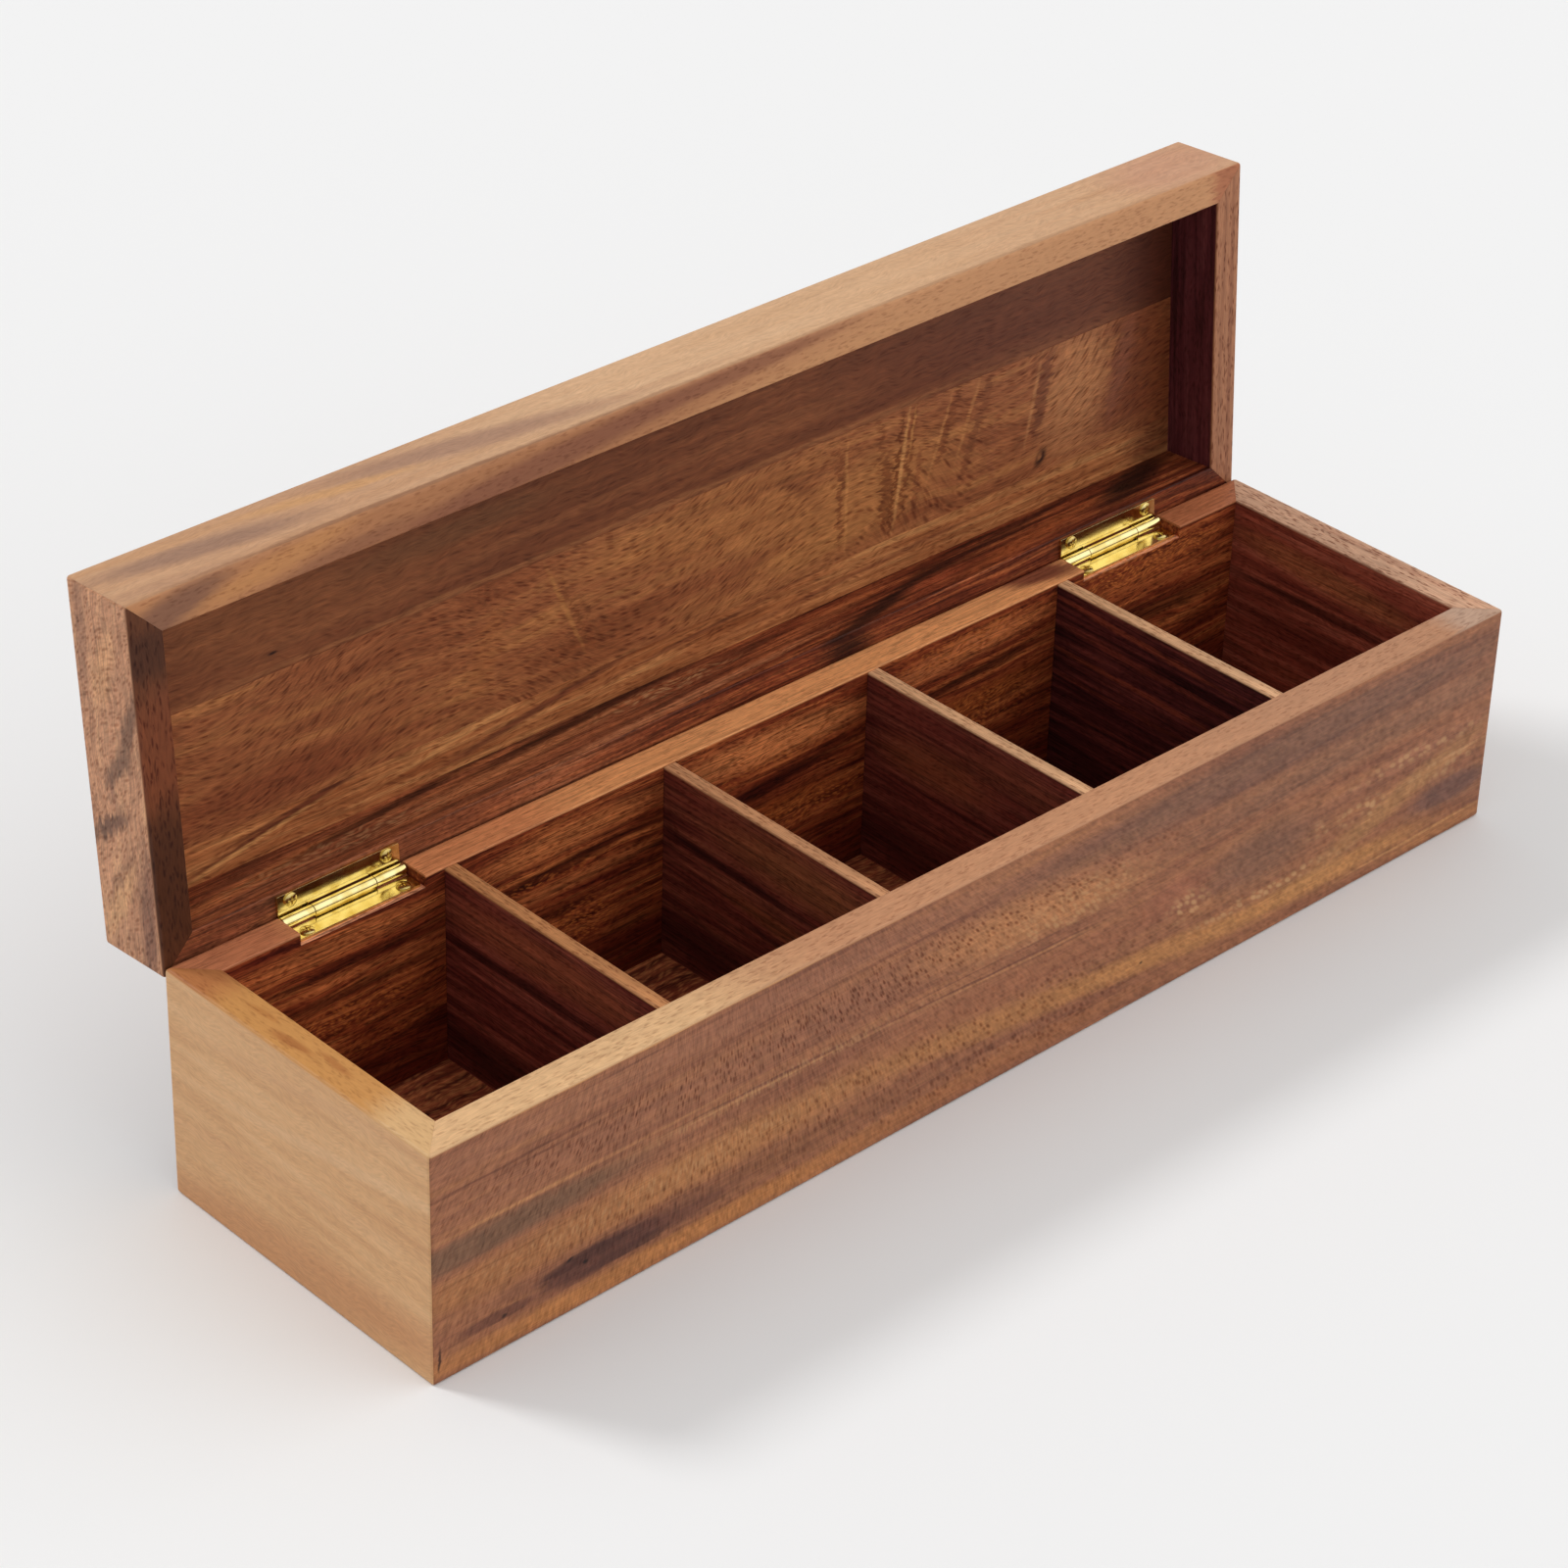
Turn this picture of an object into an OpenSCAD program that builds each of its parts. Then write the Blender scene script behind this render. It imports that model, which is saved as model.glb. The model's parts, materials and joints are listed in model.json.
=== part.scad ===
// Tea bag organizer box: a mitred wooden box with five compartments
// and a hinged lid, shown with the lid standing open.
// X runs along the box, Y from front to back, Z up.
// The origin is the centre of the underside.

/* [Box] */
// Length of the box, left to right
box_l = 380; // [300:5:460]
// Width of the box, front to back
box_w = 100; // [92:1:120]
// Height of the base without the lid
base_h = 67; // [50:1:100]
// Thickness of the four base walls
wall_t = 10; // [9:0.5:14]
// Rounding of the sanded outer edges
edge_r = 1; // [0.4:0.1:1.4]

/* [Bottom] */
// Thickness of the bottom boards
bottom_t = 8.5; // [5:0.5:12]
// Width of the front and middle bottom boards, the back one fills the rest
bottom_board_w = 37; // [28:1:40]
// Width of the rebate that the bottom and lid boards sit in
rebate_w = 4; // [2:0.5:6]

/* [Dividers] */
// Thickness of a divider
divider_t = 4.2; // [3:0.1:8]
// How far the dividers stop below the rim
divider_drop = 0.6; // [0.2:0.1:10]
// Depth of the grooves that hold the dividers
groove_d = 3; // [1:0.5:5]

/* [Lid] */
// Height of the lid
lid_h = 24; // [18:1:40]
// Thickness of the four lid rails
lid_wall_t = 9.5; // [9:0.5:14]
// Thickness of the lid boards
lid_board_t = 7; // [4:0.5:9]
// Width of the front and middle lid boards, the back one fills the rest
lid_board_w = 37; // [28:1:40]
// Angle between the closed and the fully open lid
open_angle = 94; // [90:1:100]

/* [Hinges] */
// Length of a hinge
hinge_l = 38; // [34:1:60]
// Distance from an end of the box to the middle of the nearer hinge
hinge_inset = 53; // [35:1:90]
// Width of a hinge leaf, from the pin to its free edge
leaf_w = 7; // [6:0.1:7.2]
// Thickness of the brass sheet
leaf_t = 0.8; // [0.6:0.1:1]
// Diameter of the hinge pin
pin_d = 1.6; // [1.2:0.1:2]
// Length of the middle knuckle, which belongs to the base leaf
mid_knuckle_l = 19; // [10:1:21]

/* [Screws] */
// Diameter of a screw's shank
screw_d = 2; // [1.6:0.1:2.4]
// Length of a screw under its head
screw_l = 9; // [6:0.5:10]
// Length of a screw's point
screw_tip = 2; // [1:0.5:3]
// Diameter of a screw's head
head_d = 3.8; // [3.4:0.1:3.9]
// Height of a screw's head at its middle
head_h = 0.8; // [0.6:0.05:0.85]
// Height of a screw's head at its rim
head_rim_h = 0.35; // [0.2:0.05:0.5]
// Width of an arm of the cross in a screw's head
cross_w = 0.5; // [0.3:0.1:0.8]
// Length of the cross from end to end
cross_l = 2.3; // [1.6:0.1:2.8]
// Depth of the cross
cross_depth = 0.45; // [0.2:0.05:0.55]
// Distance from a screw's centre to the end of its leaf
screw_end = 4; // [3:0.5:6]
// Distance from a screw's centre to the free edge of its leaf
screw_edge = 2; // [2:0.1:2.2]

/* [Fits] */
// Gap between the rims of the closed box
rim_gap = 0.1; // [0.05:0.05:0.3]
// Gap between the open lid's edge and the back of the base that stops it
stop_gap = 0.1; // [0.05:0.05:0.3]
// Gap around the pin in its knuckles
pin_gap = 0.05; // [0.02:0.01:0.08]
// Gap between two knuckles along the pin
knuckle_gap = 0.2; // [0.1:0.05:0.4]
// Gap between a leaf and the other leaf's knuckle
leaf_gap = 0.3; // [0.2:0.05:0.5]
// How far a leaf's back stands out past its knuckle
leaf_set = 0.2; // [0.1:0.05:0.3]
// Gap between a hinge and each end of its notch
notch_gap = 0.5; // [0.2:0.1:1]
// Gap between the bottom or lid boards and their rebate
board_gap = 0.1; // [0.05:0.05:0.5]
// Gap around a divider in its grooves
groove_gap = 0.1; // [0.05:0.05:0.3]
// Gap around a screw in the wood and in its leaf
screw_gap = 0.05; // [0.02:0.01:0.1]

/* [Hidden] */

$fn = 48;

// A cut runs this far past the face that it opens
past = 1;

// Compartments
divider_count = 4;
inner_l = box_l - 2 * wall_t;
inner_w = box_w - 2 * wall_t;
cell_l = (inner_l - divider_count * divider_t) / (divider_count + 1);
divider_top = base_h - divider_drop;

// Pockets for the bottom and lid boards, and the boards that fill them
bottom_pocket = [box_l, box_w] - 2 * (wall_t - rebate_w) * [1, 1];
lid_pocket = [box_l, box_w] - 2 * (lid_wall_t - rebate_w) * [1, 1];

// Hinges: the pin lies plane_gap below the closed lid's rim,
// and plane_gap above the floor of the notch that holds the leaves
knuckle_r = pin_d / 2 + pin_gap + leaf_t;
plane_gap = knuckle_r + leaf_set;
pin_z = base_h + rim_gap - plane_gap;
notch_z = pin_z - plane_gap;

// The rounded edge of the open lid stops against the back of the base.
// That sets how far the pin lies in from the back.
pin_inset = ((plane_gap + edge_r) * sin(open_angle) - stop_gap
    - edge_r * (1 + cos(open_angle))) / (1 - cos(open_angle));
pin_y = box_w / 2 - pin_inset;

// The rim of the lid rolls past this rounded edge of the base
back_rim_r = plane_gap - rim_gap;

hinge_x = box_l / 2 - hinge_inset;
leaf_clear = knuckle_r + leaf_gap;
side_knuckle_l = (hinge_l - mid_knuckle_l) / 2 - knuckle_gap;
screw_x = hinge_l / 2 - screw_end;
screw_y = leaf_w - screw_edge;
head_z = leaf_t - plane_gap;

// The head's domed top is part of a ball
dome_rise = head_h - head_rim_h;
dome_r = (pow(head_d / 2, 2) + pow(dome_rise, 2)) / (2 * dome_rise);

lid_z = base_h + rim_gap;

// Outlines

// What rounding takes off a corner at the origin
module corner_waste(r) {
    difference() {
        translate([-r, -r]) square(2 * r);
        translate([r, r]) circle(r);
    }
}

// A rectangle with its own rounding at each corner,
// counted anticlockwise from the corner at the origin
module eased_rectangle(size, radii) {
    corners = [[0, 0], [size.x, 0], size, [0, size.y]];
    difference() {
        square(size);
        for (i = [0 : 3])
            translate(corners[i]) rotate(90 * i) corner_waste(radii[i]);
    }
}

// A box centred on X and Y with rounded outer edges
module eased_block(size, side_radii) {
    all_round = [edge_r, edge_r, edge_r, edge_r];
    intersection() {
        translate([-size.x / 2, -size.y / 2, 0])
            linear_extrude(size.z) eased_rectangle([size.x, size.y], all_round);
        translate([-size.x / 2, -size.y / 2, 0])
            rotate([90, 0, 90]) linear_extrude(size.x)
                eased_rectangle([size.y, size.z], side_radii);
        translate([-size.x / 2, size.y / 2, 0])
            rotate([90, 0, 0]) linear_extrude(size.y)
                eased_rectangle([size.x, size.z], all_round);
    }
}

// Plan of a long side with mitred ends, the front one for way = -1
module long_side(t, h, way) {
    outer = way * box_w / 2;
    linear_extrude(h) polygon([
        [-box_l / 2, outer],
        [box_l / 2, outer],
        [box_l / 2 - t, outer - way * t],
        [-box_l / 2 + t, outer - way * t]
    ]);
}

// Plan of a short side with mitred ends, the left one for way = -1
module short_side(t, h, way) {
    outer = way * box_l / 2;
    linear_extrude(h) polygon([
        [outer, -box_w / 2],
        [outer, box_w / 2],
        [outer - way * t, box_w / 2 - t],
        [outer - way * t, -box_w / 2 + t]
    ]);
}

// One of three edge-glued boards that fill a pocket, from front to back
module glued_board(pocket, t, board_w, i) {
    length = pocket.x - 2 * board_gap;
    total = pocket.y - 2 * board_gap;
    width = i < 2 ? board_w : total - 2 * board_w;
    translate([-length / 2, -total / 2 + i * board_w, 0])
        cube([length, width, t]);
}

// Base

module base_block() {
    eased_block([box_l, box_w, base_h], [edge_r, edge_r, back_rim_r, edge_r]);
}

module bottom_rebate() {
    translate([-bottom_pocket.x / 2, -bottom_pocket.y / 2, -past])
        cube([bottom_pocket.x, bottom_pocket.y, bottom_t + past]);
}

// Left face of a divider, counted from 1 at the left
function divider_x(i) = -inner_l / 2 + i * cell_l + (i - 1) * divider_t;

module divider_grooves() {
    reach = inner_w + 2 * groove_d;
    for (i = [1 : divider_count])
        translate([divider_x(i) - groove_gap, -reach / 2, bottom_t])
            cube([
                divider_t + 2 * groove_gap,
                reach,
                divider_top + groove_gap - bottom_t
            ]);
}

// Places children at both hinges
module at_hinges() {
    for (way = [-1, 1])
        translate([way * hinge_x, pin_y, pin_z]) children();
}

// Places children at the two screws of a leaf
module at_screws() {
    for (way = [-1, 1])
        translate([way * screw_x, -screw_y, 0]) children();
}

module hinge_notches() {
    notch_l = hinge_l + 2 * notch_gap;
    for (way = [-1, 1])
        translate([way * hinge_x - notch_l / 2, box_w / 2 - wall_t - past, notch_z])
            cube([notch_l, wall_t + 2 * past, base_h - notch_z + past]);
}

// Holes down from the leaf into the wood
module screw_holes() {
    at_screws()
        translate([0, 0, head_z - screw_l - screw_gap])
            cylinder(r = screw_d / 2 + screw_gap, h = screw_l + screw_gap + past);
}

module front_wall() {
    color("#8f6242") difference() {
        intersection() {
            base_block();
            long_side(wall_t, base_h, -1);
        }
        bottom_rebate();
        divider_grooves();
    }
}

module back_wall() {
    color("#7a3f26") difference() {
        intersection() {
            base_block();
            long_side(wall_t, base_h, 1);
        }
        bottom_rebate();
        divider_grooves();
        hinge_notches();
        at_hinges() screw_holes();
    }
}

module end_wall(way) {
    color("#c39565") difference() {
        intersection() {
            base_block();
            short_side(wall_t, base_h, way);
        }
        bottom_rebate();
    }
}

module bottom_board(i) {
    color("#6b3521") glued_board(bottom_pocket, bottom_t, bottom_board_w, i);
}

module divider(i) {
    reach = inner_w + 2 * (groove_d - groove_gap);
    color("#5f2d1f") translate([divider_x(i), -reach / 2, bottom_t])
        cube([divider_t, reach, divider_top - bottom_t]);
}

// Lid, built closed and swung open

module swing_open() {
    translate([0, pin_y, pin_z])
        rotate([-open_angle, 0, 0])
            translate([0, -pin_y, -pin_z])
                children();
}

module lid_block() {
    translate([0, 0, lid_z])
        eased_block([box_l, box_w, lid_h], [edge_r, edge_r, edge_r, edge_r]);
}

module lid_rebate() {
    translate([-lid_pocket.x / 2, -lid_pocket.y / 2, lid_z + lid_h - lid_board_t])
        cube([lid_pocket.x, lid_pocket.y, lid_board_t + past]);
}

module lid_long_rail(way) {
    intersection() {
        lid_block();
        translate([0, 0, lid_z]) long_side(lid_wall_t, lid_h, way);
    }
}

module lid_front_rail() {
    color("#b07a4e") swing_open() difference() {
        lid_long_rail(-1);
        lid_rebate();
    }
}

module lid_back_rail() {
    color("#6d3c27") swing_open() difference() {
        lid_long_rail(1);
        lid_rebate();
        at_hinges() mirror([0, 0, 1]) screw_holes();
    }
}

module lid_end_rail(way) {
    color("#8c6145") swing_open() difference() {
        intersection() {
            lid_block();
            translate([0, 0, lid_z]) short_side(lid_wall_t, lid_h, way);
        }
        lid_rebate();
    }
}

module lid_board(i) {
    color("#8a5a36") swing_open()
        translate([0, 0, lid_z + lid_h - lid_board_t])
            glued_board(lid_pocket, lid_board_t, lid_board_w, i);
}

// Hinges, drawn about the pin with the leaf below and in front of it

// A run of knuckle, centred on x
module knuckle(x, length) {
    translate([x - length / 2, 0, 0]) rotate([0, 90, 0])
        cylinder(r = knuckle_r, h = length);
}

module pin_bore() {
    translate([-hinge_l / 2 - past, 0, 0]) rotate([0, 90, 0])
        cylinder(r = pin_d / 2 + pin_gap, h = hinge_l + 2 * past);
}

// Flat sheet with a tongue that reaches the pin along each run in tongues
module leaf_plate(tongues) {
    translate([0, 0, -plane_gap]) linear_extrude(leaf_t) {
        translate([-hinge_l / 2, -leaf_w])
            square([hinge_l, leaf_w - leaf_clear]);
        for (run = tongues)
            translate([run[0], -leaf_clear - leaf_t])
                square([run[1] - run[0], leaf_clear + leaf_t]);
    }
}

module base_leaf() {
    difference() {
        union() {
            leaf_plate([[-mid_knuckle_l / 2, mid_knuckle_l / 2]]);
            knuckle(0, mid_knuckle_l);
        }
        pin_bore();
        screw_holes();
    }
}

module lid_leaf() {
    end = hinge_l / 2;
    mirror([0, 0, 1]) difference() {
        union() {
            leaf_plate([[-end, -end + side_knuckle_l], [end - side_knuckle_l, end]]);
            for (way = [-1, 1])
                knuckle(way * (end - side_knuckle_l / 2), side_knuckle_l);
        }
        pin_bore();
        screw_holes();
    }
}

module hinge_base_leaf(way) {
    color("#d9b64a") translate([way * hinge_x, pin_y, pin_z]) base_leaf();
}

module hinge_lid_leaf(way) {
    color("#d9b64a") swing_open()
        translate([way * hinge_x, pin_y, pin_z]) lid_leaf();
}

module hinge_pin(way) {
    color("#c9a33c") translate([way * hinge_x - hinge_l / 2, pin_y, pin_z])
        rotate([0, 90, 0]) cylinder(d = pin_d, h = hinge_l);
}

// Domed head with a cross, standing on the origin
module screw_head() {
    difference() {
        intersection() {
            cylinder(d = head_d, h = head_h);
            translate([0, 0, head_h - dome_r]) sphere(dome_r);
        }
        for (turn = [0, 90])
            rotate(turn)
                translate([-cross_l / 2, -cross_w / 2, head_h - cross_depth])
                    cube([cross_l, cross_w, cross_depth + past]);
    }
}

module screw() {
    screw_head();
    rotate_extrude() polygon([
        [0, 0],
        [screw_d / 2, 0],
        [screw_d / 2, screw_tip - screw_l],
        [0, -screw_l]
    ]);
}

module base_screws(way) {
    color("#d4b04a") translate([way * hinge_x, pin_y, pin_z])
        at_screws() translate([0, 0, head_z]) screw();
}

module lid_screws(way) {
    color("#a88432") swing_open()
        translate([way * hinge_x, pin_y, pin_z]) mirror([0, 0, 1])
            at_screws() translate([0, 0, head_z]) screw();
}

front_wall();
back_wall();
end_wall(-1);  // left_end_wall
end_wall(1);  // right_end_wall
bottom_board(0);  // bottom_board_front
bottom_board(1);  // bottom_board_middle
bottom_board(2);  // bottom_board_back
divider(1);  // divider_1
divider(2);  // divider_2
divider(3);  // divider_3
divider(4);  // divider_4
lid_front_rail();
lid_back_rail();
lid_end_rail(-1);  // lid_left_rail
lid_end_rail(1);  // lid_right_rail
lid_board(0);  // lid_board_front
lid_board(1);  // lid_board_middle
lid_board(2);  // lid_board_back
hinge_base_leaf(-1);  // left_hinge_base_leaf
hinge_lid_leaf(-1);  // left_hinge_lid_leaf
hinge_pin(-1);  // left_hinge_pin
hinge_base_leaf(1);  // right_hinge_base_leaf
hinge_lid_leaf(1);  // right_hinge_lid_leaf
hinge_pin(1);  // right_hinge_pin
base_screws(-1);  // left_hinge_base_screws
lid_screws(-1);  // left_hinge_lid_screws
base_screws(1);  // right_hinge_base_screws
lid_screws(1);  // right_hinge_lid_screws
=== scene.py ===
import json
import math

import bmesh
import bpy
from mathutils import Matrix, Vector


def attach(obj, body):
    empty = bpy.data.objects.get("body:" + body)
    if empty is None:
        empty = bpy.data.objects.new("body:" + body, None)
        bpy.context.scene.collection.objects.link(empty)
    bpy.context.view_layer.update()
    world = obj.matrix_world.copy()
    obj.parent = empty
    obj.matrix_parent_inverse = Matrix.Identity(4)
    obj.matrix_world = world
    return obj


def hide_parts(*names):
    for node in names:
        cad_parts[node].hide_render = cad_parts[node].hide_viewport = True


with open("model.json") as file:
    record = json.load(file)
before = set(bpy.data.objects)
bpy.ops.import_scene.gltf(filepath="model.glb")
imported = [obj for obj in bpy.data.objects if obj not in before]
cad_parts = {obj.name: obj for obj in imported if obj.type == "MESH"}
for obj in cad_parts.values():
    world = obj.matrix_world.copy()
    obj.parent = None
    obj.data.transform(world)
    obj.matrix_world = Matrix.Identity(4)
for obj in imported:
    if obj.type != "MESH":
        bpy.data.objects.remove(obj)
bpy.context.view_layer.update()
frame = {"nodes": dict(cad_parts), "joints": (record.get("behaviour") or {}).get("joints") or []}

mm = 0.001
slack = 0.02 * mm             # how far a vertex may be from a plane and still count as on it
pastFace = Vector((0, 0, mm))  # cutters stand this far out of a face
print("stage: frame loaded")


# The lid swings about the hinge pins. It is built closed and then swung open, as it stands at rest.
lidJoint = frame["joints"][0]
pin = Vector(lidJoint["pos_m"])
openAngle = math.radians(lidJoint["range_deg"][1])
closing = Matrix.Translation(pin) @ Matrix.Rotation(openAngle, 4, "X") @ Matrix.Translation(-pin)
asItStands = Matrix.Identity(4)


def boxOf(nodes, turn=asItStands):
    corners = [turn @ v.co for node in nodes for v in frame["nodes"][node].data.vertices]
    low = Vector([min(c[i] for c in corners) for i in range(3)])
    high = Vector([max(c[i] for c in corners) for i in range(3)])
    return low, high


# Picking and shaping, as by hand

def pickNone():
    bpy.ops.object.select_all(action="DESELECT")


def pickPiece(piece):
    pickNone()
    piece.select_set(True)
    bpy.context.view_layer.objects.active = piece


def openMesh(piece, kind="FACE"):
    # edit mode, with everything picked
    pickPiece(piece)
    bpy.ops.object.mode_set(mode="EDIT")
    bpy.ops.mesh.select_mode(type=kind)
    bpy.ops.mesh.select_all(action="SELECT")


def closeMesh():
    bpy.ops.object.mode_set(mode="OBJECT")


def pickParts(piece, kind, wanted):
    mesh = bmesh.from_edit_mesh(piece.data)
    bpy.ops.mesh.select_mode(type=kind)
    bpy.ops.mesh.select_all(action="DESELECT")
    parts = {"VERT": mesh.verts, "EDGE": mesh.edges, "FACE": mesh.faces}[kind]
    for part in parts:
        if wanted(part):
            part.select_set(True)
    mesh.select_flush_mode()
    bmesh.update_edit_mesh(piece.data)


def allAt(part, axis, value):
    return all(abs(v.co[axis] - value) < slack for v in part.verts)


def settle(name):
    # names the new piece and takes its place, turn and scale into its mesh
    piece = bpy.context.object
    piece.name = name
    bpy.ops.object.transform_apply(location=True, rotation=True, scale=True)
    return piece


def startBlock(name, low, high):
    pickNone()
    bpy.ops.mesh.primitive_cube_add(size=1, location=(low + high) / 2, scale=high - low)
    return settle(name)


def copyOf(piece, name):
    pickPiece(piece)
    bpy.ops.object.duplicate()
    bpy.context.object.name = name
    return bpy.context.object


def dropPiece(piece):
    pickPiece(piece)
    bpy.ops.object.delete()


def sawOff(piece, place, direction):
    openMesh(piece)
    bpy.ops.mesh.bisect(plane_co=place, plane_no=direction, use_fill=True, clear_outer=True)
    closeMesh()


def cutOut(piece, cutter):
    pickPiece(piece)
    cut = piece.modifiers.new("cut", "BOOLEAN")
    cut.operation = "DIFFERENCE"
    cut.solver = "EXACT"
    cut.object = cutter
    bpy.ops.object.modifier_apply(modifier=cut.name)
    dropPiece(cutter)


def easeArrises(piece, width, steps=2, above=40):
    pickPiece(piece)
    ease = piece.modifiers.new("ease", "BEVEL")
    ease.width = width
    ease.segments = steps
    ease.limit_method = "ANGLE"
    ease.angle_limit = math.radians(above)
    bpy.ops.object.modifier_apply(modifier=ease.name)


def cutRound(piece, radius, low, high):
    # a round hole straight down between two points
    pickNone()
    place = (low + high) / 2
    bpy.ops.mesh.primitive_cylinder_add(vertices=24, radius=radius, depth=high.z - low.z, location=place)
    cutOut(piece, settle("drill"))


def swingOpen(piece):
    openMesh(piece)
    bpy.ops.transform.rotate(value=openAngle, orient_axis="X", center_override=pin)
    closeMesh()


def tidyNormals(piece):
    openMesh(piece)
    bpy.ops.mesh.remove_doubles(threshold=0.001 * mm)
    bpy.ops.mesh.normals_make_consistent(inside=False)
    closeMesh()


def handOver(piece, body, node, material, smooth=30):
    pickPiece(piece)
    bpy.ops.object.shade_smooth_by_angle(angle=math.radians(smooth))
    flats = piece.modifiers.new("flats", "WEIGHTED_NORMAL")
    flats.keep_sharp = True
    bpy.ops.object.modifier_apply(modifier=flats.name)
    piece.data.materials.clear()
    piece.data.materials.append(material)
    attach(piece, body)
    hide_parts(node)


# Shader nodes

def put(tree, kind, ins, **settings):
    node = tree.nodes.new("ShaderNode" + kind)
    for key, value in settings.items():
        setattr(node, key, value)
    for key, value in ins.items():
        if isinstance(value, bpy.types.NodeSocket):
            tree.links.new(value, node.inputs[key])
        else:
            node.inputs[key].default_value = value
    return node


def calc(tree, sort, a, b=0.0, c=0.0):
    return put(tree, "Math", {0: a, 1: b, 2: c}, operation=sort).outputs[0]


def times(tree, a, b):
    return put(tree, "Math", {0: a, 1: b}, operation="MULTIPLY").outputs[0]


def gap(tree, a, b):
    return calc(tree, "ABSOLUTE", calc(tree, "SUBTRACT", a, b))


def remap(tree, value, low, high, toLow=0.0, toHigh=1.0):
    ins = {"Value": value, "From Min": low, "From Max": high, "To Min": toLow, "To Max": toHigh}
    return put(tree, "MapRange", ins, interpolation_type="SMOOTHSTEP").outputs["Result"]


def blendTones(tree, share, a, b, sort="MIX"):
    ins = {0: share, 6: a, 7: b}
    return put(tree, "Mix", ins, data_type="RGBA", blend_type=sort).outputs[2]


def tone(code):
    parts = [int(code[i:i + 2], 16) / 255 for i in (1, 3, 5)]
    linear = [p / 12.92 if p <= 0.04045 else ((p + 0.055) / 1.055) ** 2.4 for p in parts]
    return (*linear, 1.0)


def split(tree, place):
    return put(tree, "SeparateXYZ", {0: place}).outputs


def freshMaterial(name):
    material = bpy.data.materials.new(name)
    material.use_nodes = True
    material.node_tree.nodes.clear()
    return material, material.node_tree


def stretched(tree, grain, along, across):
    return put(tree, "Mapping", {"Vector": grain, "Scale": (1 / along, 1 / across, 1 / across)}).outputs[0]


def noise(tree, grain, along, across, detail=3.0, rough=0.55):
    place = stretched(tree, grain, along, across)
    ins = {"Vector": place, "Scale": 1.0, "Detail": detail, "Roughness": rough}
    return put(tree, "TexNoise", ins)


def shifted(tree, grain, along, across, reach, detail=2.0):
    push = noise(tree, grain, along, across, detail)
    centred = put(tree, "VectorMath", {0: push.outputs["Color"], 1: (0.5, 0.5, 0.5)}, operation="SUBTRACT")
    ins = {0: centred.outputs[0], 1: reach, 2: grain}
    return put(tree, "VectorMath", ins, operation="MULTIPLY_ADD").outputs[0]


# Wood

acaciaLook = {
    "across": (0, 0, 1),
    "bands": (70, 3.2),  # length and width of the colour bands
    "bandStops": (0.33, 0.5, 0.68),  # where the dark, the middle and the light tone lie in them
    "wave": (110, 16, 5.0),  # length, width and reach of the slow wave in the grain
    "ragged": (20, 1.6, (9, 3, 3)),  # the same of the ragged edges of a streak
    "frayed": (2.4, 0.9, (3.5, 0.8, 0.8)),
    "lineWander": (16, 3, (2, 0.9, 0.9)),
    "poreWander": (8, 3, (0.8, 0.6, 0.6)),
    "ripple": (16, 0.8),  # length and reach of the lean of the pores, one way and then the other
    "streakEdge": (1.25, 0.35),  # radius where a streak starts and where it is full
    "blotEdge": (1.1, 0.65),
    "lineEdge": (1.3, 0.3),
    "rimEdge": (1.25, 0.45),
    "outsideEdge": (0.6, 0.3),  # depth in mm where the tone of an outer face ends and is full
    "rimStart": (0.8, 0.25),  # distance in mm below the rim where its tones start and are full
    "notchNear": (0.3, 0.15),  # distance in mm from the notch's floor, in the same way
    "growthLines": (160, 1.5),
    "growth": 0.25,  # how dark a growth line is
    "fibre": (9, 0.28),
    "contrast": (0.88, 1.1),  # darkest and lightest shade of the fine fibre
    "mottles": (5, 1.8),
    "mottle": (0.93, 1.06),
    "grit": (0.92, 1.06),
    "fleck": (3.4, 0.9),
    "fleckRadius": (0.6, 0.2),
    "fleckTone": "#c99a6b",
    "pore": (2.6, 0.8),  # spacing of the pores along and across
    "poreRadius": (0.62, 0.1),
    "poreTint": "#9f7763",
    "pores": 0.55,
    "rimPores": 0.3,
    "rimCalm": 0.5,  # how much of the fine shading is gone on the rim
    "rough": 0.54, "bandRough": -0.12, "poreRough": 0.2,
    "shine": 0.2,
    "bump": (0.5, 0.05),  # strength, and depth in mm
}


def zone(tree, place, u, v, halfLong, halfWide, tilt=0, edge=acaciaLook["streakEdge"]):
    # 1 in the middle of an ellipse and 0 outside it, through the whole thickness of the board
    throughBoard = 400
    ins = {
        "Vector": place,
        "Location": (u, v, 0),
        "Rotation": (0, 0, math.radians(tilt)),
        "Scale": (halfLong, halfWide, throughBoard),
    }
    local = put(tree, "Mapping", ins, vector_type="TEXTURE").outputs[0]
    reach = put(tree, "VectorMath", {0: local}, operation="LENGTH").outputs["Value"]
    return remap(tree, reach, *edge)


def zones(tree, place, spots):
    share = 0.0
    for u, v, halfLong, halfWide, strength in spots:
        one = times(tree, zone(tree, place, u, v, halfLong, halfWide), strength)
        share = calc(tree, "MAXIMUM", share, one)
    return share


def paint(tree, colour, place, streaks, edge, over=1.0):
    for u, v, halfLong, halfWide, tilt, code, strength in streaks:
        share = times(tree, zone(tree, place, u, v, halfLong, halfWide, tilt, edge), strength)
        share = times(tree, share, over)
        colour = blendTones(tree, share, colour, tone(code))
    return colour


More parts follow.
